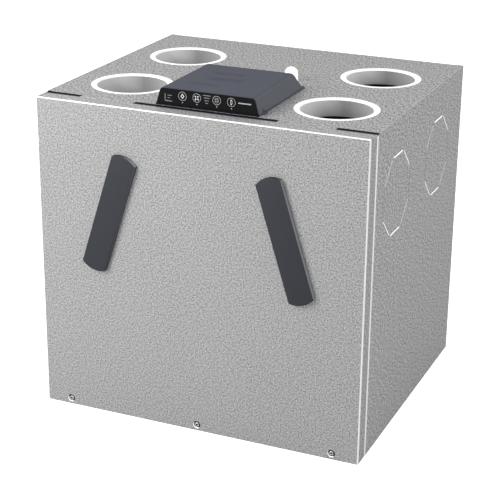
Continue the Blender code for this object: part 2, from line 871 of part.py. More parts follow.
def build_exchanger():
    front, rear = CORE_Y
    cap_front = front - CAP_REACH
    slab("exchanger_core", [hexagon(-CORE_INSET)], CORE_Y, finish="core")
    slab("exchanger_end_cap_front", [hexagon(0.0)], (cap_front, front - GAP), finish="cap")
    slab("exchanger_end_cap_rear", [hexagon(0.0)], (rear + GAP, rear + CAP_REACH), finish="cap")
    # the strap bows out towards the door
    line = []
    for i in range(STRAP_STEPS + 1):
        t = -1 + 2 * i / STRAP_STEPS
        bow = STRAP_BOW * math.cos(t * math.pi / 2) ** 2
        line.append((STRAP_HALF_L * t, cap_front - GAP - STRAP_FOOT - bow))
    slab("exchanger_strap", [band(line, STRAP_HALF_T, STRAP_HALF_T)], STRAP_Z, "XY", "strap")


# ---------------------------------------------------------------------------
# fans
# ---------------------------------------------------------------------------
FAN_R = 85.0
FAN_ORIGIN_Y = 110.0
SCROLL_Y = (66.0, 160.0)
SCROLL_TOP = 300.0
BLADES = 7
BLADE_R0 = 50
BLADE_R1 = FAN_R - 1.5
BLADE_SWEEP = math.radians(52)
BLADE_CURVE = 0.9                       # exponent of the sweep along the blade
BLADE_HALF_T = 1.1
BLADE_STEPS = 3
BLADE_Y = (85.0, 137.0)

# turned profiles: radius, y
# a flange in the foam wall, drawn in to the impeller's eye
INLET_RING = [
    (63.5, 36.0), (57.0, 37.4), (51.5, 43.5), (48.6, 56.0), (48.0, 86.0),
    (46.4, 86.0), (47.0, 56.0), (50.0, 42.8), (56.2, 35.8), (63.5, 34.4),
]
IMPELLER_DISC = [(FAN_R, 136.0), (FAN_R, 138.5), (33.6, 138.5), (33.6, 136.0)]
IMPELLER_SHROUD = [(50.5, 84.0), (FAN_R, 92.0), (FAN_R, 94.0), (50.5, 86.5)]
ROTOR = [
    (0.0, 96.0), (26.0, 96.0), (31.0, 98.0), (33.0, 103.0),
    (33.0, 134.0), (30.0, 134.0), (30.0, 100.0), (0.0, 100.0),
]
STATOR = [
    (0.0, 104.0), (28.6, 104.0), (28.6, 138.0), (21.0, 140.0),
    (21.0, 150.0), (42.0, 151.0), (42.0, 157.5), (0.0, 157.5),
]


def fan_turned(name, profile, x, finish, closed=True, origin=(0, 0, 0)):
    heights = [(r, -y) for r, y in profile]
    return turned(name, heights, (x, 0, FAN_Z), finish, 24, closed, TO_DOOR, origin)


def fan_scroll(label, sign):
    def outline(grow, top):
        return [mirrored(scroll_outline(grow, top), sign)]

    low, high = SCROLL_Y
    centre = (sign * FAN_X, FAN_Z)
    scroll = slab(
        "fan_scroll_" + label, outline(SCROLL_WALL, SCROLL_TOP), SCROLL_Y, finish="fan"
    )
    cut(
        scroll,
        slab("scroll_inside_" + label, outline(0.0, 320.0), (low + SCROLL_WALL, high - SCROLL_WALL)),
        drums(
            "scroll_eye_" + label,
            dict(radius=56.0, low=60, high=72, centre=centre, axis="Y", segments=24),
            dict(radius=7.0, low=154, high=164, centre=centre, axis="Y", segments=16),
        ),
    )


def blade_loop(k):
    """A blade whose line turns back round the axis as it runs out from the eye to the rim."""
    first = 2 * math.pi * k / BLADES
    inside, outside = [], []
    for i in range(BLADE_STEPS + 1):
        t = i / BLADE_STEPS
        r = BLADE_R0 + (BLADE_R1 - BLADE_R0) * t
        a = first - BLADE_SWEEP * t**BLADE_CURVE
        w = BLADE_HALF_T / r
        inside.append((r * math.cos(a - w), r * math.sin(a - w)))
        outside.append((r * math.cos(a + w), r * math.sin(a + w)))
    return inside + outside[::-1]


def fan_blades(label, sign):
    bm = bmesh.new()
    for k in range(BLADES):
        loop = [(sign * (FAN_X + x), FAN_Z + z) for x, z in mirrored(blade_loop(k), 1)]
        piece = slab_mesh([loop], BLADE_Y)
        bm.from_mesh(piece)
        bpy.data.meshes.remove(piece)
    return place("impeller_blades_" + label, solid_mesh(bm))


def build_fans():
    for label, sign in SIDES:
        x = sign * FAN_X
        axis = (x, FAN_ORIGIN_Y, FAN_Z)
        fan_scroll(label, sign)
        fan_turned("fan_inlet_ring_" + label, INLET_RING, x, "fan")
        impeller = fan_turned("fan_impeller_" + label, IMPELLER_DISC, x, "fan", origin=axis)
        join(
            impeller,
            fan_blades(label, sign),
            fan_turned("impeller_shroud_" + label, IMPELLER_SHROUD, x, None),
        )
        fan_turned("fan_rotor_" + label, ROTOR, x, "motor", closed=False, origin=axis)
        fan_turned("fan_stator_" + label, STATOR, x, "motor", closed=False)


# ---------------------------------------------------------------------------
# bypass
# ---------------------------------------------------------------------------
FLAP_AXIS = (39.5, 508.0)               # y, z
FLAP_Y = (37.3, 39.3)
FLAP_OVERLAP = 4                        # flap beyond the opening
BYPASS_FRAME_Y = (31.0, 36.5)
BYPASS_FRAME_OUT = 8                    # frame outside and inside the opening's edge
BYPASS_FRAME_IN = 2
SHAFT_R = 2.2
SHAFT_X = (-112.0, -46.0)


def widened(span, by):
    return span[0] - by, span[1] + by


def build_bypass():
    loops = [
        rectangle(widened(FLAP_X, by), widened(FLAP_Z, by))
        for by in (BYPASS_FRAME_OUT, -BYPASS_FRAME_IN)
    ]
    slab("bypass_frame", loops, BYPASS_FRAME_Y, finish="fan")
    flap = block(
        "bypass_flap", widened(FLAP_X, FLAP_OVERLAP), FLAP_Y,
        (FLAP_Z[0] - FLAP_OVERLAP, FLAP_AXIS[1]), "grey", origin=(0, *FLAP_AXIS),
    )
    shaft = dict(radius=SHAFT_R, low=SHAFT_X[0], high=SHAFT_X[1], axis="X", segments=16)
    join(flap, like_drums("flap_shaft", [FLAP_AXIS], **shaft))
    block("bypass_motor", (-43.4, -8.0), (33.0, 62.0), (478.0, 512.0), "fan", rounding=1.5)


# ---------------------------------------------------------------------------
# condensate
# ---------------------------------------------------------------------------
# radius, z
SPIGOT_PROFILE = [(21.0, 50.5), (21.0, 48.8), (16.0, 48.8), (16.0, 0.6), (13.0, 0.6), (13.0, 50.5)]


def build_drain():
    tray = open_box(
        "drain_tray", (14, 281), (-236, 7), (46.4, 60.0), ("+Z",), 0.0, "grey", thickness=2.0
    )
    cut(tray, like_drums("tray_hole", [DRAIN], radius=16.4, low=40, high=54, segments=32))
    turned("drain_spigot", SPIGOT_PROFILE, (*DRAIN, 0), "grey", segments=24)


# ---------------------------------------------------------------------------
# control box
# ---------------------------------------------------------------------------
BOX_HALF_BASE = 97.7
BOX_HALF_TOP_FRONT = 89.0
BOX_HALF_TOP_BACK = 86.4
BOX_FRONT = -228.3
BOX_BACK = -26.0
BOX_TOP_BACK = -47.0
BOX_Z0 = 602.6
BOX_Z_FRONT = 631.6
BOX_Z_BACK = 633.0
BOX_WALL = 2.2
BOX_DROP = 3.2                          # how far the untrimmed form reaches below the box
FOOT_SPREAD = 0.9                       # extra half width at that depth
BACK_SLOPE = 0.69                       # run of the back face per mm of height
BACK_WALL_RUN = 1.22                    # level run of that face per mm of wall
BACK_TOP_RUN = 0.55                     # run of the top's rear edge per mm of wall

BASE_EAR = 2.8
# right half of the base plate (x, y), with an ear at its side
BASE_HALF = [
    (98.2, -230.9), (98.2, -208.0), (98.2 + BASE_EAR, -205.5), (98.2 + BASE_EAR, -197.5),
    (98.2, -195.0), (98.2, -17.5), (95.2, -14.0),
]

FASCIA_Z = (603.2, 630.9)
FASCIA_HALF_BASE = 97.0
FASCIA_HALF_TOP = 88.7
FASCIA_CORNER = 5.0
FASCIA_T = 1.4
BUTTON_X = (-46.4, -18.9, 18.9, 46.4)
BUTTON_Z = 619.7
BUTTON_R = 8.75
BUTTON_PLAY = 0.35
# a round cap on a stem that reaches the display board: radius, height towards the door
BUTTON_PROFILE = [
    (0.0, 1.9), (BUTTON_R - 0.4, 1.9), (BUTTON_R, 1.6), (BUTTON_R, 0.4),
    (3.0, 0.4), (3.0, -8.5), (0.0, -8.5),
]
# radius, height above the case
GLAND_PROFILE = [
    (0.0, 28.8), (5.0, 28.2), (8.6, 26.0), (10.8, 22.6),
    (12.0, 18.0), (12.5, 12.0), (12.5, GAP), (0.0, GAP),
]


def hood(wall):
    """The box's tapered form, drawn in by the wall; its floor is left below the box for trimming."""
    bm = bmesh.new()
    drop = BOX_DROP + wall
    cube(
        bm,
        around(BOX_HALF_BASE + FOOT_SPREAD - wall),
        (BOX_FRONT + wall, BOX_BACK + BACK_SLOPE * drop - BACK_WALL_RUN * wall),
        (BOX_Z0 - drop, BOX_Z_BACK),
    )
    front_half = BOX_HALF_TOP_FRONT - wall
    back_half = BOX_HALF_TOP_BACK - wall
    for v in bm.verts:
        if v.co.z > (BOX_Z0 + 5) * MM:
            side = 1 if v.co.x > 0 else -1
            if v.co.y < -0.1:
                corner = (side * front_half, BOX_FRONT + 1.0 + wall, BOX_Z_FRONT - wall)
            else:
                corner = (side * back_half, BOX_TOP_BACK - BACK_TOP_RUN * wall, BOX_Z_BACK - wall)
            v.co = Vector(corner) * MM
    bm.normal_update()
    return bm


def build_box_base():
    hole = rectangle(around(8, CABLE[0]), around(6, CABLE[1]))
    span = (CASE_H + GAP, BOX_Z0 - GAP)
    slab("control_box_base", [symmetric(BASE_HALF), hole], span, "XY", "slate_box")


def build_box_cover():
    bm = hood(0.0)
    # the two upper edges that run from front to back, then the other edges above the floor
    crest = [
        e for e in bm.edges
        if all(v.co.z > 0.62 for v in e.verts)
        and abs(e.verts[0].co.y - e.verts[1].co.y) > 0.05
    ]
    bevel(bm, crest, 5.0, 4)
    rest = [
        e for e in bm.edges
        if e.calc_face_angle(0) > math.radians(35) and max(v.co.z for v in e.verts) > 0.605
    ]
    bevel(bm, rest, 1.0, 2)
    cut(
        place("control_box_cover", solid_mesh(bm), "slate_box"),
        block("cover_trim", around(120), (-260, 30), (585, BOX_Z0)),
        place("cover_inside", solid_mesh(hood(BOX_WALL))),
        block("display_window", around(60), (-236, -220), (610.2, 629.2)),
    )


def fascia_outline():
    """Front plate: it narrows upwards with the box and has round upper corners."""
    z0, z1 = FASCIA_Z
    r = FASCIA_CORNER
    lean = (FASCIA_HALF_BASE - FASCIA_HALF_TOP) / (z1 - z0)
    corner = arc(FASCIA_HALF_TOP - r, z1 - r, r, 0, math.pi / 2, 4)
    return symmetric([(FASCIA_HALF_BASE, z0)] + [(x + lean * (z1 - z), z) for x, z in corner])


def build_fascia():
    holes = [
        arc(x, BUTTON_Z, BUTTON_R + BUTTON_PLAY, 0, 2 * math.pi, 24)[:-1] for x in BUTTON_X
    ]
    back = BOX_FRONT - GAP
    slab("control_fascia", [fascia_outline()] + holes, (back - FASCIA_T, back), finish="black")


def build_buttons():
    for index, x in enumerate(BUTTON_X, start=1):
        centre = (x, BOX_FRONT, BUTTON_Z)
        turned(
            "button_%d" % index, BUTTON_PROFILE, centre, "black",
            segments=24, closed=False, turn=TO_DOOR, origin=centre,
        )


def build_boards():
    block("display_board", around(82), (-218.4, -216.8), (606.5, 628.0), "board")
    block("main_board", around(80), (-205, -52), (607.0, 608.6), "board")


def build_cable_gland():
    turned("cable_gland", GLAND_PROFILE, (*GLAND, CASE_H), "white", segments=24, closed=False)


# ---------------------------------------------------------------------------
# hanging
# ---------------------------------------------------------------------------
WALL = 287.3                            # y of the wall's face
# sections (y, z)
RAIL_SECTION = [
    (275.3, 530), (277.3, 530), (277.3, 568), (281.0, 568),
    (281.0, 545), (283.0, 545), (283.0, 570), (275.3, 570),
]
BRACKET_SECTION = [
    (WALL, 500), (WALL, 566), (WALL - 2, 566), (WALL - 2, 542), (280.2, 542),
    (280.2, 562), (278.2, 562), (278.2, 540), (WALL - 2, 540), (WALL - 2, 500),
]
SPACER_X = 230.0
SPACER_Z = 70.0
# radius, height towards the wall
SPACER_PROFILE = [(0.0, 12.0), (18.0, 12.0), (20.0, 10.5), (20.0, 0.3), (0.0, 0.3)]


def build_hanging():
    slab("hanging_rail", [RAIL_SECTION], around(250), "YZ", "zinc")
    slab("wall_bracket", [BRACKET_SECTION], around(260), "YZ", "zinc")
    for label, sign in SIDES:
        turned(
            "wall_spacer_" + label, SPACER_PROFILE, (sign * SPACER_X, BACK, SPACER_Z), "rubber",
            segments=20, closed=False, turn=TO_WALL,
        )


for build in (
    build_top_panel, build_bottom_panel, build_back_panel, build_side_panels,
    build_front_body, build_rear_body, build_port_sleeves,
    build_door_skin, build_door_insulation, build_door_gasket, build_door_screws,
    build_filters, build_exchanger, build_fans, build_bypass, build_drain,
    build_box_base, build_box_cover, build_fascia, build_buttons, build_boards,
    build_cable_gland, build_hanging,
):
    build()
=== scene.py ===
"""Looks of a heat recovery unit, built round its CAD frame: finishes for every node, finer turned and moulded pieces
in place of the faceted ones, the symbols on the control panel, and a pale studio.

The case stands on z = 0, its width along X and centred on x = 0. The door faces -Y, the wall side +Y, and the duct
ports and the control box are on top. Piece sizes are in mm, shader lengths and the studio in metres."""

import json
import math
from functools import partial, reduce

import bmesh
import bpy
from mathutils import Matrix, Vector


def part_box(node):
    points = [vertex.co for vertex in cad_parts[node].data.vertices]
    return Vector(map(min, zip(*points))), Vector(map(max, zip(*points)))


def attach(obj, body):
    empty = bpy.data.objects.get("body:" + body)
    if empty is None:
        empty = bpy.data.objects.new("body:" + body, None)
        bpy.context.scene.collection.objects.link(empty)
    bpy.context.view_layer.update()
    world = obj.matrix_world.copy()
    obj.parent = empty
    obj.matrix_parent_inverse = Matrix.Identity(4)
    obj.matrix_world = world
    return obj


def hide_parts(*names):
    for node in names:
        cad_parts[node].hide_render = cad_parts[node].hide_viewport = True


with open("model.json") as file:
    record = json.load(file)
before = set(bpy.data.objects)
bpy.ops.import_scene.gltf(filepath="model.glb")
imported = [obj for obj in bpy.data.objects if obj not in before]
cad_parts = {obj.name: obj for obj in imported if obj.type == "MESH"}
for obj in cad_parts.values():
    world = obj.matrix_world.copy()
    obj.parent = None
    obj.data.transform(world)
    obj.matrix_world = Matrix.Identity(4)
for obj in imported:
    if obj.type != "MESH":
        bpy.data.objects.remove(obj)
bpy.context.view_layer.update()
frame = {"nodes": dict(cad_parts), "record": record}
scene = bpy.context.scene
MM = 0.001


# ---------------------------------------------------------------------------
# node graphs
# ---------------------------------------------------------------------------
class Look:
    """A material's Principled shader and the node graph that feeds it."""

    def __init__(self, name):
        self.material = bpy.data.materials.new(name)
        self.material.use_nodes = True
        self.tree = self.material.node_tree
        self.shader = self.tree.nodes["Principled BSDF"]
        self.coord = None

    def feed(self, socket, value):
        """Links a socket or sets a plain value."""
        if isinstance(value, bpy.types.NodeSocket):
            self.tree.links.new(value, socket)
        elif isinstance(value, (tuple, list)) and len(value) == 3 and socket.type == "RGBA":
            socket.default_value = (*value, 1.0)
        else:
            socket.default_value = value

    def node(self, kind, inputs=None, **settings):
        made = self.tree.nodes.new(kind)
        for key, value in settings.items():
            setattr(made, key, value)
        for key, value in (inputs or {}).items():
            self.feed(made.inputs[key], value)
        return made

    def set(self, name, value):
        self.feed(self.shader.inputs[name], value)

    def surface(self, colour, rough, specular=0.5, metallic=0.0, glow=None):
        self.set("Base Color", colour)
        self.set("Roughness", rough)
        self.set("Specular IOR Level", specular)
        self.set("Metallic", metallic)
        if glow is not None:
            self.set("Emission Color", (1.0, 1.0, 1.0))
            self.set("Emission Strength", glow)

    def bump(self, height, strength, distance):
        inputs = {"Strength": strength, "Distance": distance, "Height": height}
        self.set("Normal", self.node("ShaderNodeBump", inputs).outputs[0])

    # coordinates and directions
    def object_coord(self):
        if self.coord is None:
            self.coord = self.node("ShaderNodeTexCoord").outputs["Object"]
        return self.coord

    def split(self, vector):
        return self.node("ShaderNodeSeparateXYZ", {0: vector}).outputs

    def axis(self, which):
        return self.split(self.object_coord())[which]

    def across(self):
        """Distance from the middle plane, |x|."""
        return self.calc("ABSOLUTE", self.axis(0))

    def object_normal(self):
        return self.split(self.node("ShaderNodeTexCoord").outputs["Normal"])

    def geometry(self, output):
        return self.node("ShaderNodeNewGeometry").outputs[output]

    # arithmetic
    def calc(self, operation, a, b=0.0):
        return self.node("ShaderNodeMath", {0: a, 1: b}, operation=operation).outputs[0]

    def times(self, *values):
        return reduce(partial(self.calc, "MULTIPLY"), values)

    def plus(self, *values):
        return reduce(partial(self.calc, "ADD"), values)

    def largest(self, *values):
        return reduce(partial(self.calc, "MAXIMUM"), values)

    def linear(self, value, gain, base):
        """value * gain + base."""
        return self.plus(self.times(value, gain), base)

    def swing(self, value, span):
        """A 0 to 1 value turned into one of the given span about zero."""
        return self.times(self.calc("SUBTRACT", value, 0.5), span)

    def off_middle(self, value):
        """Distance, up to 0.5, from the middle of each unit step of value."""
        return self.calc("ABSOLUTE", self.calc("SUBTRACT", self.calc("FRACT", value), 0.5))

    def ramp(self, value, low, high):
        """0 at low, 1 at high, linear between; low may be above high to turn it round."""
        inputs = {"Value": value, "From Min": low, "From Max": high}
        return self.node("ShaderNodeMapRange", inputs, clamp=True).outputs[0]

    # textures
    def noise(self, scale, detail=2.0, rough=0.5, distortion=0.0, vector=None):
        return self.node("ShaderNodeTexNoise", {
            "Scale": scale, "Detail": detail, "Roughness": rough, "Distortion": distortion,
            "Vector": vector or self.object_coord(),
        }).outputs[0]

    def cells(self, scale, feature="F1", output="Distance", randomness=1.0, vector=None):
        inputs = {
            "Scale": scale, "Randomness": randomness, "Vector": vector or self.object_coord(),
        }
        return self.node("ShaderNodeTexVoronoi", inputs, feature=feature).outputs[output]

    def cell_tone(self, scale, vector=None):
        """A random grey for each cell."""
        colour = self.cells(scale, output="Color", vector=vector)
        return self.node("ShaderNodeSeparateColor", {0: colour}).outputs[0]

    # colours
    def mix(self, factor, a, b, blend="MIX"):
        inputs = {0: factor, 6: a, 7: b}
        made = self.node("ShaderNodeMix", inputs, data_type="RGBA", blend_type=blend)
        return made.outputs[2]

    def scaled(self, colour, factor):
        """colour times a value."""
        grey = self.node("ShaderNodeCombineColor", {0: factor, 1: factor, 2: factor}).outputs[0]
        return self.mix(1.0, colour, grey, blend="MULTIPLY")


def srgb(*channels):
    """sRGB 0-255 to linear."""
    def linear(value):
        value /= 255.0
        return value / 12.92 if value <= 0.04045 else ((value + 0.055) / 1.055) ** 2.4
    return tuple(linear(value) for value in channels)


# ---------------------------------------------------------------------------
# galvanised sheet
# ---------------------------------------------------------------------------
SHEET_METALLIC = 0.45
# boxes of painted highlight round the bends: (|x|, y, z) spans as (low, high, softness) in mm
DOOR_HIGHLIGHTS = (
    (None, (None, -273.3, 0.4), (598.2, None, 0.4)),
    ((313.0, None, 0.5), (None, -273.0, 0.5), None),
)
SIDE_HIGHLIGHTS = (
    ((313.9, None, 0.4), (None, -236.6, 0.5), None),
)


def rolled_vector(look):
    """Coordinates in the plane of each face, drawn out a little along Y."""
    def vector_math(operation, inputs):
        return look.node("ShaderNodeVectorMath", inputs, operation=operation).outputs[0]

    facing = vector_math("ABSOLUTE", {0: look.geometry("True Normal")})
    in_plane = vector_math("SUBTRACT", {0: (1.0, 1.0, 1.0), 1: facing})
    inputs = {"Vector": look.object_coord(), "Scale": (1.0, 0.42, 1.0)}
    drawn = look.node("ShaderNodeMapping", inputs).outputs[0]
    return vector_math("MULTIPLY", {0: drawn, 1: in_plane})


def box_mask(look, box):
    """1 inside a box of (|x|, y, z) spans, fading to 0 over their softness."""
    parts = []
    for which, span in enumerate(box):
        if span is None:
            continue
        value = look.across() if which == 0 else look.axis(which)
        low, high, soft = span
        if low is not None:
            step = look.ramp(value, low=(low - soft) * MM, high=low * MM)
        else:
            step = look.ramp(value, low=(high + soft) * MM, high=high * MM)
        parts.append(step)
    return look.times(*parts)


def dish_masks(look):
    """The pressed dishes round the door screws: where they are, where they turn up, where lit."""
    facing = look.split(look.geometry("Normal"))
    height = look.times(look.ramp(look.axis(2), low=0.0044, high=0.0046),
                        look.ramp(look.axis(2), low=0.0219, high=0.0215))
    place = look.times(look.ramp(look.across(), low=0.281, high=0.280), height)
    sunk = look.times(look.ramp(look.axis(1), low=-0.27495, high=-0.2748),
                      look.ramp(look.axis(1), low=-0.2705, high=-0.2710), place)
    # how far a face leans to the right and up
    right_share, up_share = 0.6, 0.8
    lean = look.plus(look.times(facing[0], right_share), look.times(facing[2], up_share))
    turned_up = look.times(look.ramp(lean, low=0.05, high=0.30),
                           look.ramp(facing[1], low=-0.95, high=-0.85))
    lit = look.times(turned_up, look.ramp(look.axis(1), low=-0.27335, high=-0.27375))
    return sunk, turned_up, lit


def slot_mask(look, full, end):
    """A band in y, full at one depth (mm) and gone at the other, over the width of the slots."""
    band = look.ramp(look.axis(1), low=end * MM, high=full * MM)
    across = look.across()
    middle = look.ramp(across, low=0.1364, high=0.1360)
    outer = look.times(look.ramp(across, low=0.2420, high=0.2425),
                       look.ramp(across, low=0.3130, high=0.3126))
    return look.times(band, look.largest(middle, outer))


def galvanised(name, level=0.385, speckle=1.45, edges=(), top_highlight=False, dishes=False,
               slot_shade=None):
    """Hot-dip coated sheet: fine crystals that catch the light differently, soft mottling, and
    painted highlights on the bends and cut edges inside the given boxes and, if asked, on faces
    turned up; painted light and shade in the screw dishes if asked. slot_shade is the y (mm)
    where the painted shade along the slots is full and where it ends."""
    look = Look(name)
    rolled = rolled_vector(look)
    crystals = look.noise(scale=375.0, detail=0.0, vector=rolled)
    fine = look.cell_tone(scale=1400.0, vector=rolled)
    cloud = look.noise(scale=9.0, detail=3.0, rough=0.55)
    tone = look.plus(look.swing(crystals, span=speckle), look.swing(fine, span=0.30),
                     look.swing(cloud, span=0.06))
    darkest, blue_tint = 0.12, 1.002
    tone = look.largest(look.plus(tone, 1.0), darkest)
    base = look.scaled((level, level, level * blue_tint), tone)
    metallic, glow = SHEET_METALLIC, None

    # painted highlight: in the boxes, and on faces turned up if asked, the sheet is painted near white and made less
    # metallic
    painted_highlights = [box_mask(look, box) for box in edges]
    if top_highlight:
        up = look.split(look.geometry("Normal"))[2]
        top_highlight_strength = 0.50
        painted_highlights.append(look.times(look.ramp(up, low=0.7, high=0.95), top_highlight_strength))
    if painted_highlights:
        painted_highlight = look.largest(*painted_highlights)
        cover, metal_loss = 0.97, 0.8
        base = look.mix(look.times(painted_highlight, cover), base, (0.93, 0.93, 0.94))
        lost = look.times(painted_highlight, SHEET_METALLIC * metal_loss)
        metallic = look.calc("SUBTRACT", SHEET_METALLIC, lost)
    if dishes:
        # painted light and shade: bright on the side turned up, dark on the side
        # turned down, with a painted glow on the lit side
        sunk, turned_up, lit = dish_masks(look)
        shade = look.mix(turned_up, (0.02, 0.02, 0.02), (0.16, 0.16, 0.16))
        base = look.mix(sunk, base, look.mix(lit, shade, (0.97, 0.97, 0.97)))
        dish_painted_glow = 0.35
        glow = look.times(sunk, lit, dish_painted_glow)
    if slot_shade:
        # painted shade: a dark band along the slots, standing for the shadow in the gap
        strength = 0.9
        dark = look.times(slot_mask(look, *slot_shade), strength)
        base = look.mix(dark, base, (0.02, 0.02, 0.032))
    rough = look.linear(fine, gain=0.18, base=0.40)
    look.surface(base, rough, specular=0.4, metallic=metallic, glow=glow)
    fine_relief, crystal_relief = 0.4, 0.5
    height = look.plus(look.times(fine, fine_relief), look.times(crystals, crystal_relief))
    look.bump(height, strength=0.10, distance=0.0004)
    return look.material


# painted highlight: a bright, glowing strip set into a slit
def painted_slit_highlight(name, albedo, glow):
    look = Look(name)
    speck = look.noise(scale=900.0, rough=0.6)
    tone = look.linear(speck, gain=0.12, base=0.94)
    colour = look.scaled((albedo, albedo, albedo), tone)
    look.surface(colour, rough=0.35, metallic=0.1, glow=glow)
    return look.material


# ---------------------------------------------------------------------------
# other finishes
# ---------------------------------------------------------------------------
# FOAM_GLOW is a painted glow that keeps the white foam free of shade
FOAM_LEVEL, FOAM_GLOW = 0.95, 0.12


def foam(name, level=FOAM_LEVEL, glow=FOAM_GLOW, collar=False):
    """Moulded expanded polystyrene: beads pressed together, a fine seam round each, with a painted glow."""
    look = Look(name)
    bead_scale = 270.0
    gap = look.cells(bead_scale, feature="DISTANCE_TO_EDGE")
    tone = look.cell_tone(bead_scale)
    seam = look.ramp(gap, low=0.0, high=0.09)
    fleck = look.noise(scale=900.0, detail=3.0, rough=0.6)
    value = look.times(look.linear(seam, gain=0.10, base=0.90),
                       look.linear(tone, gain=0.05, base=0.965))
    if collar:
        # painted light and shade: the collars at the top are lifted to full white with the full
        # painted glow, while the foam below them stays darker
        collar_zone = look.ramp(look.axis(2), low=0.594, high=0.597)
        lift = look.linear(collar_zone, gain=FOAM_LEVEL / level - 1.0, base=1.0)
        value = look.times(value, lift)
        glow = look.linear(collar_zone, gain=FOAM_GLOW - glow, base=glow)
    rough = look.linear(fleck, gain=0.2, base=0.7)
    look.surface(look.scaled((level, level, level), value), rough, specular=0.25, glow=glow)
    look.set("Subsurface Weight", 0.08)
    look.set("Subsurface Radius", (0.002, 0.002, 0.002))
    look.set("Subsurface Scale", 1.0)
    seam_relief, fleck_relief = 0.8, 0.25
    height = look.plus(look.times(seam, seam_relief), look.times(fleck, fleck_relief))
    look.bump(height, strength=0.25, distance=0.0006)
    return look.material


def edge_light(look, colour, value):
    """Painted light on edges turned right and up, painted shade as a dark line on those turned left, up or down."""
    turned = look.object_normal()
    right_share, up_share, shy_darkening = 0.85, 0.5, 0.5
    lean = look.plus(look.times(turned[0], right_share), look.times(turned[2], up_share))
    lit = look.ramp(lean, low=0.55, high=0.95)
    steep = look.calc("ABSOLUTE", turned[2])
    shy = look.largest(look.ramp(turned[0], low=-0.2, high=-0.6),
                       look.ramp(steep, low=0.2, high=0.6))
    dark = look.times(shy, look.calc("SUBTRACT", 1.0, lit), shy_darkening)
    colour = look.mix(lit, colour, (0.27, 0.275, 0.29))
    return colour, look.times(value, look.calc("SUBTRACT", 1.0, dark))


def plastic(name, colour, rough=0.5, grain=800.0, variation=0.10, specular=0.3, strength=0.35,
            flank_light=0.0, glow=None, front_band=None, painted_edge_light=False):
    """Moulded plastic with a fine spark-eroded texture and a slight unevenness of tone.
    front_band is the y (mm) in front of which it turns black."""
    look = Look(name)
    pebble = look.noise(scale=grain, detail=3.0, rough=0.65)
    pits = look.cells(scale=grain * 0.9, feature="SMOOTH_F1")
    drift = look.noise(scale=14.0)
    value = look.plus(look.swing(pebble, span=variation), 1.0,
                      look.swing(drift, span=variation * 0.8))
    tint = colour
    if front_band:
        start = front_band * MM
        band = look.ramp(look.axis(1), low=start + 0.0003, high=start)
        tint = look.mix(band, colour, (0.006, 0.006, 0.0075))
    if flank_light:
        # painted light: the flank turned right is brightened, and warmed where there is no front band
        flank = look.ramp(look.object_normal()[0], low=0.25, high=0.7)
        value = look.times(value, look.linear(flank, gain=flank_light, base=1.0))
        if not front_band:
            flank_light_tint = (1.05, 1.03, 0.90)
            flank_light_colour = tuple(channel * factor for channel, factor in zip(colour, flank_light_tint))
            tint = look.mix(flank, colour, flank_light_colour)
    # painted light and shade on the edges
    if painted_edge_light:
        tint, value = edge_light(look, tint, value)
    roughness = look.linear(pebble, gain=0.16, base=rough - 0.08)
    look.surface(look.scaled(tint, value), roughness, specular=specular, glow=glow)
    pit_relief = 0.5
    height = look.plus(pebble, look.times(pits, pit_relief))
    look.bump(height, strength, distance=0.00012)
    return look.material


def soft_seal(name, colour):
    """Closed-cell foam or rubber: small open pores in a matt skin."""
    look = Look(name)
    hole = look.ramp(look.cells(scale=700.0), low=0.05, high=0.45)
    tone = look.linear(hole, gain=0.5, base=0.6)
    look.surface(look.scaled(colour, tone), rough=0.92, specular=0.1)
    look.bump(hole, strength=0.5, distance=0.0005)
    return look.material


def turned_metal(name, colour, rough=0.32):
    """Turned or plated metal: fine marks and a little mottling."""
    look = Look(name)
    marks = look.noise(scale=500.0, detail=4.0, rough=0.7)
    cloud = look.noise(scale=60.0)
    tone = look.plus(look.swing(marks, span=0.3), look.linear(cloud, gain=0.16, base=0.92))
    roughness = look.linear(marks, gain=0.2, base=rough - 0.1)
    look.surface(look.scaled(colour, tone), roughness, metallic=0.85)
    look.bump(marks, strength=0.15, distance=0.0002)
    return look.material


def fleece(name, colour):
    """Pleated filter fleece, with painted shade in the folds."""
    look = Look(name)
    fibre = look.noise(scale=380.0, detail=6.0, rough=0.75, distortion=1.4)
    # the folds are counted from the front, along the depth
    fold_offset, folds_per_metre, fold_shade = 0.23720, 85.0340, 0.35
    phase = look.times(look.plus(look.axis(1), fold_offset), folds_per_metre)
    fold = look.ramp(look.off_middle(phase), low=0.30, high=0.5)
    tone = look.times(look.linear(fibre, gain=0.5, base=0.72),
                      look.calc("SUBTRACT", 1.0, look.times(fold, fold_shade)))
    look.surface(look.scaled(colour, tone), rough=0.95, specular=0.05)
    look.set("Sheen Weight", 0.3)
    look.bump(fibre, strength=0.6, distance=0.0008)
    return look.material


def card(name, colour):
    look = Look(name)
    fibre = look.noise(scale=260.0, detail=5.0, rough=0.7)
    tone = look.linear(fibre, gain=0.22, base=0.88)
    look.surface(look.scaled(colour, tone), rough=0.85)
    look.bump(fibre, strength=0.25, distance=0.0003)
    return look.material


def woven(name, colour):
    """Webbing: two sets of threads, banded along X and along Z."""
    look = Look(name)
    inputs = {"Scale": 500.0, "Distortion": 0.4, "Vector": look.object_coord()}
    threads = [look.node("ShaderNodeTexWave", inputs, bands_direction=direction).outputs["Fac"]
               for direction in "XZ"]
    weave = look.times(*threads)
    tone = look.linear(weave, gain=0.9, base=0.6)
    look.surface(look.scaled(colour, tone), rough=0.85)
    look.bump(weave, strength=0.6, distance=0.0006)
    return look.material


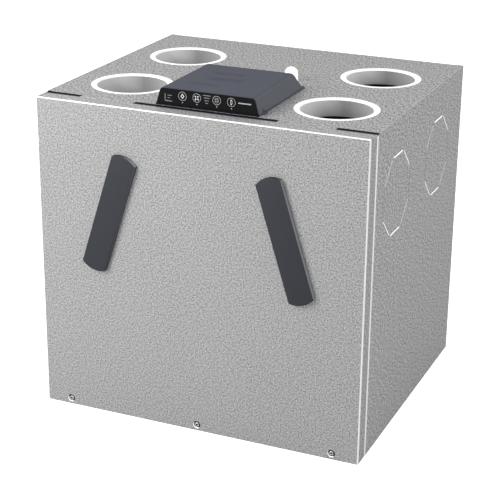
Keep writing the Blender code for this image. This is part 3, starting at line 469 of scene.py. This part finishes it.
def plate_stack(name, colour):
    """The exchanger's edges: one thin plate after another along the depth."""
    look = Look(name)
    pitch, line_share = 0.0026, 0.55
    line = look.ramp(look.off_middle(look.times(look.axis(1), 1.0 / pitch)), low=0.12, high=0.3)
    speck = look.noise(scale=700.0, rough=0.6)
    tone = look.plus(look.times(line, line_share), look.linear(speck, gain=0.1, base=0.4))
    look.surface(look.scaled(colour, tone), rough=0.4)
    look.bump(line, strength=0.8, distance=0.001)
    return look.material


def board(name):
    """Circuit board: solder mask over copper tracks."""
    look = Look(name)
    tracks_per_cell = 3.0
    tracks = look.times(look.cells(scale=180.0, randomness=0.35), tracks_per_cell)
    lane = look.ramp(look.off_middle(tracks), low=0.30, high=0.36)
    look.surface(look.mix(lane, (0.012, 0.11, 0.035), (0.03, 0.24, 0.08)), rough=0.35)
    look.bump(lane, strength=0.3, distance=0.0001)
    return look.material


def bore_wall(name):
    """Inside of a duct port: satin grey with painted light, brightest where the wall faces right (+X), dimmer facing
    left.
    """
    look = Look(name)
    normal_x = look.split(look.geometry("Normal"))[0]
    right_light, left_light = 0.85, 0.26
    side = look.plus(look.times(look.ramp(normal_x, low=0.15, high=0.95), right_light),
                     look.times(look.ramp(normal_x, low=0.0, high=-0.95), left_light))
    speck = look.noise(scale=700.0, rough=0.6)
    colour = look.mix(side, (0.215, 0.215, 0.217), (0.74, 0.74, 0.745))
    tone = look.linear(speck, gain=0.08, base=0.96)
    look.surface(look.scaled(colour, tone), rough=0.6, specular=0.2)
    look.bump(speck, strength=0.1, distance=0.0001)
    return look.material


def symbol_ink(name, colour):
    look = Look(name)
    speck = look.noise(scale=1500.0, rough=0.6)
    tone = look.linear(speck, gain=0.14, base=0.93)
    look.surface(look.scaled(colour, tone), rough=0.6, specular=0.2)
    return look.material


# ---------------------------------------------------------------------------
# the materials, and which node wears which
# ---------------------------------------------------------------------------
BOX_COLOUR = (0.0655, 0.0716, 0.0925)
BOX_GRAIN = dict(rough=0.6, grain=1000.0, variation=0.14, specular=0.12)
BLACK_GRAIN = dict(grain=1500.0, variation=0.2, strength=0.1)

# each panel of the one sheet gets its own level, as painted light and shade: the sides lighter and the top darker
# than the door
steel_door = galvanised("steel_door", edges=DOOR_HIGHLIGHTS, dishes=True,
                        slot_shade=(-246.2, -246.8), speckle=1.5)
steel_side = galvanised("steel_side", level=0.412, edges=SIDE_HIGHLIGHTS, top_highlight=True, speckle=2.0)
steel_side_left = galvanised("steel_side_left", level=0.405, edges=SIDE_HIGHLIGHTS, top_highlight=True,
                             speckle=1.5)
steel_plain = galvanised("steel_plain")
steel_top = galvanised("steel_top", level=0.372, speckle=2.3, slot_shade=(-233.0, -232.6))
white_foam = foam("white_foam")
# the same foam painted darker as painted shade inside the case, its top collars painted full white
inner_foam_shaded = foam("inner_foam_shaded", level=0.60, glow=0.02, collar=True)
handle_mat = plastic("handle_mat", (0.0295, 0.0323, 0.0395), rough=0.55, grain=900.0,
                     variation=0.22, specular=0.25, painted_edge_light=True)
box_mat = plastic("box_mat", BOX_COLOUR, flank_light=0.50, **BOX_GRAIN)
# the box plastic painted darker on the ribs, as painted shade
rib_shaded_mat = plastic("rib_shaded_mat", (0.053, 0.058, 0.076), **BOX_GRAIN)
base_mat = plastic("base_mat", BOX_COLOUR, flank_light=0.25, front_band=-228.6, **BOX_GRAIN)
black_mat = plastic("black_mat", (0.006, 0.006, 0.0065), rough=0.45, specular=0.10, **BLACK_GRAIN)
key_mat = plastic("key_mat", (0.0065, 0.0065, 0.007), rough=0.42, specular=0.11, **BLACK_GRAIN)
seal_mat = soft_seal("seal_mat", (0.006, 0.006, 0.014))
rubber_mat = soft_seal("rubber_mat", (0.02, 0.02, 0.021))
grey_mat = plastic("grey_mat", (0.36, 0.365, 0.37))
bore_mat = bore_wall("bore_mat")
# glow=0.5 is a painted glow that keeps the white cap free of shade
white_mat = plastic("white_mat", (0.95, 0.95, 0.95), rough=0.4, variation=0.03, strength=0.15,
                    glow=0.5)
card_mat = card("card_mat", (0.46, 0.44, 0.39))
fleece_mat = fleece("fleece_mat", (0.50, 0.515, 0.53))
core_mat = plate_stack("core_mat", (0.62, 0.66, 0.69))
cap_mat = plastic("cap_mat", (0.035, 0.045, 0.05))
strap_mat = woven("strap_mat", (0.03, 0.03, 0.032))
fan_mat = plastic("fan_mat", (0.025, 0.025, 0.028), grain=500.0)
motor_mat = turned_metal("motor_mat", (0.55, 0.56, 0.58))
zinc_mat = turned_metal("zinc_mat", (0.60, 0.60, 0.62))
screw_mat = turned_metal("screw_mat", (0.75, 0.75, 0.77), rough=0.35)
board_mat = board("board_mat")
ink_mat = symbol_ink("ink_mat", srgb(168, 170, 172))
bright_ink_mat = symbol_ink("bright_ink_mat", srgb(214, 215, 217))
dim_ink_mat = symbol_ink("dim_ink_mat", srgb(140, 142, 144))

# by material slot
FINISHES = {
    "galvanised_sheet": steel_plain, "zinc_steel": zinc_mat, "white_foam": white_foam,
    "handle_plastic": handle_mat, "box_plastic": box_mat, "black_panel": black_mat,
    "black_seal": seal_mat, "grey_plastic": grey_mat, "white_plastic": white_mat,
    "filter_card": card_mat, "filter_fleece": fleece_mat, "exchanger_plates": core_mat,
    "exchanger_caps": cap_mat, "strap_web": strap_mat, "fan_plastic": fan_mat,
    "motor_metal": motor_mat, "circuit_board": board_mat, "rubber": rubber_mat,
}
# by node, ahead of its slot
SPECIAL = {
    "filter_plug_left": inner_foam_shaded, "filter_plug_right": inner_foam_shaded,
    "eps_body_front": inner_foam_shaded, "eps_body_rear": inner_foam_shaded, "door_insulation": inner_foam_shaded,
    "control_box_base": base_mat, "top_panel": steel_top, "door_skin": steel_door,
    "side_panel_left": steel_side_left, "side_panel_right": steel_side,
}
SHARP_ANGLE = 33.0


def smoothing_group():
    """Joins the facets of a turned CAD solid and shades them smooth up to a sharp angle."""
    tree = bpy.data.node_groups.new("smooth_facets", "GeometryNodeTree")
    for direction in ("INPUT", "OUTPUT"):
        tree.interface.new_socket("Geometry", in_out=direction, socket_type="NodeSocketGeometry")
    source = tree.nodes.new("NodeGroupInput")
    sink = tree.nodes.new("NodeGroupOutput")
    merge = tree.nodes.new("GeometryNodeMergeByDistance")
    merge.inputs["Distance"].default_value = 0.000002
    angle = tree.nodes.new("GeometryNodeInputMeshEdgeAngle")
    sharp = tree.nodes.new("FunctionNodeCompare")
    sharp.operation = "GREATER_THAN"
    sharp.inputs[1].default_value = math.radians(SHARP_ANGLE)
    faces = tree.nodes.new("GeometryNodeSetShadeSmooth")
    faces.domain = "FACE"
    edges = tree.nodes.new("GeometryNodeSetShadeSmooth")
    edges.domain = "EDGE"
    edges.inputs["Shade Smooth"].default_value = False
    link = tree.links.new
    link(source.outputs[0], merge.inputs["Geometry"])
    link(merge.outputs[0], faces.inputs["Geometry"])
    link(faces.outputs[0], edges.inputs["Geometry"])
    link(angle.outputs["Unsigned Angle"], sharp.inputs[0])
    link(sharp.outputs[0], edges.inputs["Selection"])
    link(edges.outputs[0], sink.inputs[0])
    return tree


def dress_cad_nodes():
    """Gives every CAD node its finish and its smoothing modifiers."""
    smooth_tree = smoothing_group()
    slots = {entry["node"]: entry["material_slot"] for entry in frame["record"]["subparts"]}
    for name, obj in frame["nodes"].items():
        obj.data.materials.clear()
        obj.data.materials.append(SPECIAL.get(name) or FINISHES[slots[name]])
        modifier = obj.modifiers.new("Smooth facets", "NODES")
        modifier.node_group = smooth_tree
        weighted = obj.modifiers.new("Flat faces stay flat", "WEIGHTED_NORMAL")
        weighted.mode = "FACE_AREA"
        weighted.weight = 100
        weighted.keep_sharp = True


# ---------------------------------------------------------------------------
# piece helpers (sizes in mm, meshes in metres)
# ---------------------------------------------------------------------------
TO_DOOR = Matrix.Rotation(math.radians(90), 4, "X")  # local Z to the front, -Y
TO_WALL = Matrix.Rotation(math.radians(-90), 4, "X")  # local Z to the back, +Y


def add(name, shape, mesh_name, material, body, sharp=SHARP_ANGLE):
    """Turns a bmesh into an object that rides on a body of the frame."""
    bmesh.ops.remove_doubles(shape, verts=shape.verts, dist=1e-7)
    bmesh.ops.recalc_face_normals(shape, faces=shape.faces)
    mesh = bpy.data.meshes.new(mesh_name)
    shape.to_mesh(mesh)
    shape.free()
    mesh.shade_smooth()
    mesh.set_sharp_from_angle(angle=math.radians(sharp))
    obj = bpy.data.objects.new(name, mesh)
    scene.collection.objects.link(obj)
    mesh.materials.append(material)
    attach(obj, body)
    return obj


def placed(name):
    """Centre, low corner and high corner of a CAD piece, in mm."""
    low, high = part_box(name)
    centre = [(a + b) / 2 / MM for a, b in zip(low, high)]
    return centre, [a / MM for a in low], [b / MM for b in high]


def spot(x, y, z):
    return Matrix.Translation(Vector((x, y, z)) * MM)


def walls(shape, first, second):
    """Quads between two closed loops of equally many vertices."""
    count = len(first)
    for i in range(count):
        j = (i + 1) % count
        shape.faces.new((first[i], first[j], second[j], second[i]))


def slab(shape, low, high):
    """A solid between two vertex loops."""
    shape.faces.new(low)
    shape.faces.new(high)
    walls(shape, low, high)


def lathe(shape, profile, matrix, segments, closed=False):
    """Turns a profile of (radius, height) points about local Z."""
    rings = []
    for radius, height in profile:
        if radius < 1e-6:
            rings.append([shape.verts.new(matrix @ Vector((0, 0, height * MM)))])
            continue
        ring = []
        for i in range(segments):
            angle = 2 * math.pi * i / segments
            point = Vector((radius * MM * math.cos(angle), radius * MM * math.sin(angle),
                            height * MM))
            ring.append(shape.verts.new(matrix @ point))
        rings.append(ring)
    pairs = list(zip(rings, rings[1:]))
    if closed:
        pairs.append((rings[-1], rings[0]))
    for low, high in pairs:
        if len(low) == 1 and len(high) == 1:
            continue
        if len(low) > 1 and len(high) > 1:
            walls(shape, low, high)
            continue
        for i in range(segments):
            j = (i + 1) % segments
            if len(low) == 1:
                shape.faces.new((low[0], high[j], high[i]))
            else:
                shape.faces.new((low[i], low[j], high[0]))


def prism(shape, outline, low, high, matrix, bevel, segments):
    """Outline in local XY, thickened along local Z, its edge on the high side rounded."""
    foot = [shape.verts.new(Vector((x * MM, y * MM, low * MM))) for x, y in outline]
    face = shape.faces.new(foot)
    made = bmesh.ops.extrude_face_region(shape, geom=[face])
    top = [part for part in made["geom"] if isinstance(part, bmesh.types.BMVert)]
    bmesh.ops.translate(shape, verts=top, vec=(0, 0, (high - low) * MM))
    rim = [edge for edge in shape.edges if edge.verts[0] in top and edge.verts[1] in top]
    rounded = bmesh.ops.bevel(shape, geom=rim, offset=bevel * MM, segments=segments,
                              affect="EDGES", profile=0.5)
    moved = {vert for vert in (*foot, *top, *rounded["verts"]) if vert.is_valid}
    bmesh.ops.transform(shape, matrix=matrix, verts=list(moved))


# ---------------------------------------------------------------------------
# duct ports, screws, gland, handles, rivets
# ---------------------------------------------------------------------------
def port_sleeves():
    for corner in ("front_left", "front_right", "rear_left", "rear_right"):
        (x, y, _), low, high = placed("port_sleeve_" + corner)
        outer, foot, top = (high[0] - low[0]) / 2, low[2], high[2]
        bore = outer - 1.8
        profile = [
            (outer, top), (outer, foot), (outer - 1.3, foot), (outer - 1.7, foot + 0.5),
            (bore, foot + 1.2), (bore, top - 0.5), (outer - 1.5, top),
        ]
        shape = bmesh.new()
        lathe(shape, profile, spot(x, y, 0), segments=128, closed=True)
        sleeve = add("sleeve_" + corner, shape, "sleeve", bore_mat, "case")
        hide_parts("port_sleeve_" + corner)


# (radius, height out from the front of the CAD screw)
SCREW_PROFILE = [
    (0.0, -1.7), (1.6, -1.7), (2.0, -1.5), (2.25, -0.25), (2.5, 0.0), (3.2, -0.15),
    (3.8, -0.75), (4.15, -1.6), (4.2, -2.3), (2.4, -2.3), (2.4, -32.0), (1.8, -32.6),
    (0.0, -32.6),
]
SOCKET_SHADE_PROFILE = [(0.0, -0.75), (2.3, -0.75), (2.3, -1.2), (0.0, -1.2)]


def door_screws():
    for label in ("left", "centre", "right"):
        (x, _, z), low, _ = placed("door_screw_" + label)
        seat = spot(x, low[1], z) @ TO_DOOR
        shape = bmesh.new()
        lathe(shape, SCREW_PROFILE, seat, segments=48)
        screw = add("screw_" + label, shape, "screw", screw_mat, "door", sharp=40)
        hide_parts("door_screw_" + label)
        # painted shade: a black disc closes each screw's socket
        shape = bmesh.new()
        lathe(shape, SOCKET_SHADE_PROFILE, seat, segments=6)
        add("screw_socket_shade_" + label, shape, "socket", black_mat, "door", sharp=20)


def cable_gland():
    """A domed cap over a stepped collar."""
    (x, y, _), low, high = placed("cable_gland")
    crown = high[2] - 1.5
    dome_radius, dome_height, steps = 11.8, 11.0, 12
    profile = [(0.0, crown)]
    for i in range(1, steps + 1):
        angle = math.pi / 2 * i / steps
        drop = dome_height * (1 - math.cos(angle))
        profile.append((dome_radius * math.sin(angle), crown - drop))
    profile += [(11.9, 610.0), (12.0, 606.4), (12.5, 605.8), (12.5, 600.6), (12.2, low[2]),
                (0.0, low[2])]
    shape = bmesh.new()
    lathe(shape, profile, spot(x, y, 0), segments=64)
    gland = add("gland_cap", shape, "gland", white_mat, "case", sharp=40)
    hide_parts("cable_gland")


HANDLE_TILT = math.radians(17.5)
HANDLE_HALF_WIDTH = 24.0
HANDLE_SIDE = 216.0  # length of the straight sides
HANDLE_SAG = 7.5  # how far the rounded ends stand beyond them


def filter_handles():
    """Leaning bars with arched ends."""
    radius = (HANDLE_HALF_WIDTH**2 + HANDLE_SAG**2) / (2 * HANDLE_SAG)
    swing = math.asin(HANDLE_HALF_WIDTH / radius)
    arc_centre = HANDLE_SIDE / 2 + HANDLE_SAG - radius
    steps = 24
    arch = []
    for i in range(steps + 1):
        angle = -swing + 2 * swing * i / steps
        arch.append((-radius * math.sin(angle), arc_centre + radius * math.cos(angle)))
    outline = arch + [(-x, -z) for x, z in arch]
    for label, sign in (("left", -1), ("right", 1)):
        (x, _, z), low, high = placed("filter_handle_" + label)
        tilt = spot(x, 0, z) @ Matrix.Rotation(-sign * HANDLE_TILT, 4, "Y") @ TO_DOOR
        shape = bmesh.new()
        prism(shape, outline, -high[1], -low[1], tilt, bevel=1.2, segments=3)
        grip = add("handle_" + label, shape, "handle", handle_mat, "filter_" + label,
                   sharp=40)
        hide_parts("filter_handle_" + label)


RIVET_PROFILE = [
    (0.0, 1.5), (1.1, 1.45), (1.2, 1.1), (1.7, 1.25), (2.7, 0.85), (3.3, 0.2), (3.4, -0.3),
    (0.0, -0.3),
]
RIVET_FOOT_Z, RIVET_TOP_Z = 30.0, 585.0
RIVET_INSET = 9.0
RIVET_CLEARANCE = 0.006  # metres kept free round the wall fittings


def back_rivets():
    """Blind rivets round the back sheet, left out where a wall fitting covers them."""
    _, _, high = placed("back_panel")
    fittings = [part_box(name) for name in (
        "hanging_rail", "wall_bracket", "wall_spacer_left", "wall_spacer_right")]

    def covered(x, z):
        gap = RIVET_CLEARANCE
        return any(a.x - gap < x * MM < b.x + gap and a.z - gap < z * MM < b.z + gap
                   for a, b in fittings)

    heights = (RIVET_FOOT_Z, 140.0, 250.0, 360.0, 470.0, RIVET_TOP_Z)
    places = [(sign * (high[0] - RIVET_INSET), z) for sign in (-1, 1) for z in heights]
    places += [(x, z) for x in (-150.0, 0.0, 150.0) for z in (RIVET_FOOT_Z, RIVET_TOP_Z)]
    shape = bmesh.new()
    for x, z in places:
        if not covered(x, z):
            lathe(shape, RIVET_PROFILE, spot(x, high[1], z) @ TO_WALL, segments=24)
    add("back_rivets", shape, "rivets", zinc_mat, "case", sharp=40)


# ---------------------------------------------------------------------------
# control panel: keys, symbols, bars
# ---------------------------------------------------------------------------
INK = 0.10  # how far the printing stands out


def ink_loop(shape, points, y):
    return [shape.verts.new((x * MM, y * MM, z * MM)) for x, z in points]


def ink_patch(shape, points, y):
    """A filled outline of (x, z) points."""
    slab(shape, ink_loop(shape, points, y), ink_loop(shape, points, y - INK))


def ink_frame(shape, hole, outline, y):
    """An outline of (x, z) points with a hole of equally many."""
    loops = [ink_loop(shape, points, depth) for points, depth in (
        (hole, y), (outline, y), (outline, y - INK), (hole, y - INK))]
    for first, second in zip(loops, loops[1:] + loops[:1]):
        walls(shape, first, second)


def oval(x, z, radius, count, squash=1.0):
    """Points round an oval, squashed along x."""
    angles = [2 * math.pi * i / count for i in range(count)]
    return [(x + squash * radius * math.cos(a), z + radius * math.sin(a)) for a in angles]


def bar(shape, x0, x1, z0, z1, y):
    ink_patch(shape, [(x0, z0), (x1, z0), (x1, z1), (x0, z1)], y)


def dash_symbol(shape, x, z, y):
    """Two rows of two dashes between two long thin bars."""
    for rise in (1.45, -1.45):
        for k in range(2):
            start = x - 4.0 + 4.6 * k
            bar(shape, start, start + 3.4, z + rise - 0.5, z + rise + 0.5, y)
    bar(shape, x - 3.2, x + 3.2, z + 3.6, z + 4.2, y)
    bar(shape, x - 3.2, x + 3.2, z - 4.2, z - 3.6, y)


def diamond_sign(shape, x, z, y):
    def corners(half_x, half_z):
        return [(x + u * half_x, z + v * half_z) for u, v in ((1, 0), (0, 1), (-1, 0), (0, -1))]
    ink_frame(shape, corners(2.1, 2.8), corners(3.7, 4.9), y)


# outline of one blade: (distance out from the middle, offset across)
BLADE = (
    (1.5, 0.5), (2.2, 1.15), (3.6, 1.5), (4.6, 1.1), (4.9, 0.0),
    (4.6, -0.8), (3.6, -1.0), (2.2, -0.75), (1.5, -0.35),
)


def blade_sign(shape, x, z, y):
    for k in range(4):
        angle = math.radians(45 + 90 * k)
        out_x, out_z = math.cos(angle), math.sin(angle)
        points = [(x + out_x * out - out_z * off, z + out_z * out + out_x * off)
                  for out, off in BLADE]
        ink_patch(shape, points, y)


def oval_sign(shape, x, z, y):
    hole, outline = (oval(x, z, radius, count=40, squash=0.36) for radius in (3.2, 5.0))
    ink_frame(shape, hole, outline, y)


KEY_PROFILE = [
    (0.0, 0.0), (7.9, 0.0), (8.45, -0.08), (8.7, -0.35), (8.75, -1.5), (3.0, -1.5),
    (3.0, -10.4), (0.0, -10.4),
]
KEY_SIGNS = {1: diamond_sign, 2: blade_sign, 4: oval_sign}


def panel_keys():
    """The four keys with their rings and signs; gives back each key's x."""
    places = []
    for index in range(1, 5):
        (x, _, z), low, _ = placed("button_%d" % index)
        y, body = low[1], "key_%d" % index
        places.append(x)
        shape = bmesh.new()
        lathe(shape, KEY_PROFILE, spot(x, y, z) @ TO_DOOR, segments=64)
        cap = add("key_cap_%d" % index, shape, "key", key_mat, body)
        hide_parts("button_%d" % index)
        shape = bmesh.new()
        ink_frame(shape, oval(x, z, 7.15, count=64), oval(x, z, 7.9, count=64), y)
        if index == 3:
            dash_symbol(shape, x, z, y)
        add("key_symbol_%d" % index, shape, "symbol", ink_mat, body, sharp=20)
        if index in KEY_SIGNS:
            shape = bmesh.new()
            KEY_SIGNS[index](shape, x, z, y)
            add("key_sign_%d" % index, shape, "symbol", bright_ink_mat, body,
                sharp=20)
    return places


# x0, x1, z0, z1 of the corner bracket and the two dashes in it
LEFT_MARKS = (
    (-80.4, -79.3, 608.2, 621.4), (-79.3, -66.3, 608.2, 609.3),
    (-75.0, -67.0, 618.2, 619.1), (-75.0, -70.6, 613.6, 614.5),
)
# half width and z of the bars that narrow downwards in the middle
MIDDLE_MARKS = ((7.6, 626.0), (5.7, 621.6), (3.9, 617.0), (2.1, 612.6))
MARK_HALF_HEIGHT = 0.55
LAMP_Z, LAMP_RADIUS = 608.3, 1.1


def panel_marks(key_places):
    """A lamp dot in line with each key, the printed marks and the strip on the right."""
    _, (_, y, _), _ = placed("control_fascia")
    shape = bmesh.new()
    for x in key_places:
        ink_patch(shape, oval(x, LAMP_Z, LAMP_RADIUS, count=24), y)
    add("key_lamps", shape, "lamps", ink_mat, "case", sharp=20)
    shape = bmesh.new()
    for half, z in MIDDLE_MARKS:
        bar(shape, -half, half, z - MARK_HALF_HEIGHT, z + MARK_HALF_HEIGHT, y)
    for mark in LEFT_MARKS:
        bar(shape, *mark, y)
    add("panel_marks", shape, "marks", dim_ink_mat, "case", sharp=20)
    shape = bmesh.new()
    bar(shape, 59.5, 83.5, 618.9, 620.9, y)
    add("panel_strip", shape, "strip", ink_mat, "case", sharp=20)


# ---------------------------------------------------------------------------
# control box: lid ribs, lugs, recesses
# ---------------------------------------------------------------------------
LID_FRONT, LID_BACK = (-227.3, 631.6), (-47.0, 633.0)  # (y, z)
# x0, x1, y of the first rib, number of ribs
RIB_GROUPS = ((-52.0, 16.0, -96.0, 3), (-44.0, 30.0, -132.0, 4), (-58.0, 4.0, -176.0, 3))
RIB_PITCH, RIB_HALF, RIB_RISE, RIB_SINK = 5.0, 1.0, 0.30, 0.4
RIB_STAGGER = 5.0


def lid_height(y):
    """Top surface of the box at a given depth."""
    share = (y - LID_FRONT[0]) / (LID_BACK[0] - LID_FRONT[0])
    return LID_FRONT[1] + (LID_BACK[1] - LID_FRONT[1]) * share


def lid_ribs():
    """Shallow moulded ribs on the box's top, in three groups, their ends staggered."""
    # (y, z) about the middle of the rib at lid level
    section = [
        (-RIB_HALF, -RIB_SINK), (-RIB_HALF, 0.0), (-RIB_HALF * 0.5, RIB_RISE),
        (RIB_HALF * 0.5, RIB_RISE), (RIB_HALF, 0.0), (RIB_HALF, -RIB_SINK),
    ]
    shape = bmesh.new()
    for group, (x0, x1, first_y, count) in enumerate(RIB_GROUPS):
        for k in range(count):
            y = first_y - RIB_PITCH * k
            z = lid_height(y)
            shift = RIB_STAGGER * ((k * 2 + group) % 3)
            ends = [
                [shape.verts.new((x * MM, (y + dy) * MM, (z + dz) * MM)) for dy, dz in section]
                for x in (x0 + shift, x1 - shift * 0.6)
            ]
            walls(shape, *ends)
            shape.faces.new(ends[0])
            shape.faces.new(ends[1])
    add("lid_ribs", shape, "ribs", rib_shaded_mat, "case")


COVER_FOOT, COVER_TOP = (97.7, 602.6), (88.7, 631.8)  # (|x|, z) of the flank
# (|x|, y)
LUG_OUTLINE = [
    (96.5, -216.0), (99.5, -214.5), (103.0, -210.0), (103.8, -206.5), (103.0, -203.0),
    (99.5, -198.5), (96.5, -197.0),
]
RECESS_SHADE_CORNERS = ((-213.5, 0.6), (-200.5, 0.6), (-206.0, 8.0))  # (y, rise above the foot)
RECESS_SHADE_DEPTHS = (-0.5, 0.18)  # out from the flank


def box_flanks():
    """A fixing lug at the foot of each flank, and above it a dark wedge-shaped patch, painted shade standing for a
    recess.
    """
    run, height = COVER_TOP[0] - COVER_FOOT[0], COVER_TOP[1] - COVER_FOOT[1]
    outward = Vector((height, 0.0, -run)).normalized()
    for sign, side in ((-1, "left"), (1, "right")):
        outline = LUG_OUTLINE
        if sign < 0:
            outline = [(-x, y) for x, y in reversed(outline)]
        shape = bmesh.new()
        prism(shape, outline, 600.5, 603.4, Matrix.Identity(4), bevel=0.6, segments=2)
        add("box_lug_" + side, shape, "lug", base_mat, "case", sharp=40)

        # painted shade: a thin dark patch on the flank where a recess would be shaded
        shape = bmesh.new()
        rings = []
        for depth in RECESS_SHADE_DEPTHS:
            ring = []
            for y, rise in RECESS_SHADE_CORNERS:
                x = COVER_FOOT[0] + run * (rise / height) + outward.x * depth
                z = COVER_FOOT[1] + rise + outward.z * depth
                ring.append(shape.verts.new(Vector((sign * x, y, z)) * MM))
            rings.append(ring)
        slab(shape, *rings)
        add("box_recess_shade_" + side, shape, "recess", cap_mat, "case", sharp=20)


# ---------------------------------------------------------------------------
# painted highlights in the slits of the octagonal knockouts, as bright glowing strips
# ---------------------------------------------------------------------------
OCT_FLATS, OCT_Z = 142.0, 462.0
OCT_PLACES = (("front", -123.0), ("rear", 118.0))  # y
SLIT_HALF_WIDTH = 0.72
SLIT_CORNER_GAP = 4.3  # solid sheet left between a slit and the octagon's corner
SLIT_INNER_X, SLIT_OUTER_X = 314.2, 314.93
# painted highlight grades: grade, albedo, glow, sides; side 0 is the top one, counting on towards the back
SLIT_HIGHLIGHT_GRADES = (
    ("lit", 0.95, 1.1, (0, 4)),
    ("half", 0.95, 0.50, (1, 5)),
    ("soft", 0.9, 0.28, (3, 7)),
)


def slit_corners(side, oct_y):
    """(y, z) of the four corners of one slit."""
    angle = math.radians(90 - 45 * side)
    out_y, out_z = math.cos(angle), math.sin(angle)
    reach = OCT_FLATS * math.tan(math.radians(22.5)) / 2 - SLIT_CORNER_GAP
    corners = []
    for along, across in ((-1, -1), (1, -1), (1, 1), (-1, 1)):
        out = OCT_FLATS / 2 + across * SLIT_HALF_WIDTH
        y = oct_y + out_y * out - out_z * along * reach
        z = OCT_Z + out_z * out + out_y * along * reach
        corners.append((y, z))
    return corners


def slit_highlights():
    grades = [(grade, painted_slit_highlight("edge_" + grade, albedo, glow), sides)
              for grade, albedo, glow, sides in SLIT_HIGHLIGHT_GRADES]
    for side_name, sign in (("left", -1), ("right", 1)):
        for oct_name, oct_y in OCT_PLACES:
            for grade, material, sides in grades:
                shape = bmesh.new()
                for side in sides:
                    corners = slit_corners(side, oct_y)
                    loops = [
                        [shape.verts.new((sign * x * MM, y * MM, z * MM)) for y, z in corners]
                        for x in (SLIT_INNER_X, SLIT_OUTER_X)
                    ]
                    slab(shape, *loops)
                add("slit_edges_%s_%s_%s" % (side_name, oct_name, grade), shape, "edges",
                    material, "case", sharp=20)


# ---------------------------------------------------------------------------
# studio (metres)
# ---------------------------------------------------------------------------
def studio_floor():
    """Paper that glows for the camera only, so that it stays pale."""
    shape = bmesh.new()
    bmesh.ops.create_grid(shape, x_segments=1, y_segments=1, size=9.0)
    mesh = bpy.data.meshes.new("floor")
    shape.to_mesh(mesh)
    shape.free()
    floor = bpy.data.objects.new("studio_floor", mesh)
    floor.location = (0, 0, -0.0002)
    scene.collection.objects.link(floor)
    look = Look("floor_paper")
    seen_by_camera = look.node("ShaderNodeLightPath").outputs["Is Camera Ray"]
    brightness = 0.95
    look.surface((0.60, 0.60, 0.60), rough=0.9, specular=0.0,
                 glow=look.times(seen_by_camera, brightness))
    mesh.materials.append(look.material)


def studio_world(light_strength, seen_strength):
    """White all round, with one strength for lighting and one for the camera."""
    world = bpy.data.worlds.new("studio")
    scene.world = world
    world.use_nodes = True
    tree = world.node_tree
    tree.nodes.clear()
    out = tree.nodes.new("ShaderNodeOutputWorld")
    path = tree.nodes.new("ShaderNodeLightPath")
    blend = tree.nodes.new("ShaderNodeMixShader")
    tree.links.new(path.outputs["Is Camera Ray"], blend.inputs[0])
    for socket, strength in ((1, light_strength), (2, seen_strength)):
        background = tree.nodes.new("ShaderNodeBackground")
        background.inputs["Color"].default_value = (1, 1, 1, 1)
        background.inputs["Strength"].default_value = strength
        tree.links.new(background.outputs[0], blend.inputs[socket])
    tree.links.new(blend.outputs[0], out.inputs[0])


def area_light(name, location, target, size, power):
    data = bpy.data.lights.new(name, "AREA")
    data.shape = "RECTANGLE"
    data.size = data.size_y = size
    data.energy = power
    lamp = bpy.data.objects.new(name, data)
    lamp.location = location
    aim = Vector(target) - Vector(location)
    lamp.rotation_euler = aim.to_track_quat("-Z", "Y").to_euler()
    scene.collection.objects.link(lamp)


def studio_camera(place, azimuth, elevation, roll, lens):
    """Looks in from the front right, downwards; angles in degrees."""
    camera = bpy.data.cameras.new("camera")
    camera.sensor_width = 36.0
    camera.lens = lens
    camera.clip_start, camera.clip_end = 0.05, 60.0
    eye = bpy.data.objects.new("camera", camera)
    scene.collection.objects.link(eye)
    azimuth, elevation, roll = (math.radians(angle) for angle in (azimuth, elevation, roll))
    level = math.cos(elevation)
    forward = Vector((-math.sin(azimuth) * level, math.cos(azimuth) * level,
                      -math.sin(elevation)))
    right = forward.cross(Vector((0, 0, 1))).normalized()
    up = right.cross(forward)
    rolled_right = math.cos(roll) * right + math.sin(roll) * up
    rolled_up = -math.sin(roll) * right + math.cos(roll) * up
    basis = Matrix((rolled_right, rolled_up, -forward)).transposed().to_4x4()
    basis.translation = Vector(place)
    eye.matrix_world = basis
    scene.camera = eye


dress_cad_nodes()
port_sleeves()
door_screws()
cable_gland()
filter_handles()
back_rivets()
panel_marks(panel_keys())
lid_ribs()
box_flanks()
slit_highlights()

studio_floor()
studio_world(light_strength=0.732, seen_strength=1.0)
area_light("key", location=(-0.95, -1.35, 1.35), target=(-0.05, -0.2, 0.4), size=0.8, power=29.0)
area_light("side", location=(2.4, -0.1, 1.5), target=(0.3, 0, 0.35), size=1.6, power=18.0)
studio_camera(place=(1.0384, -2.4572, 1.2877), azimuth=23.198, elevation=21.045, roll=0.589,
              lens=105.9408)
scene.view_settings.view_transform = "Standard"
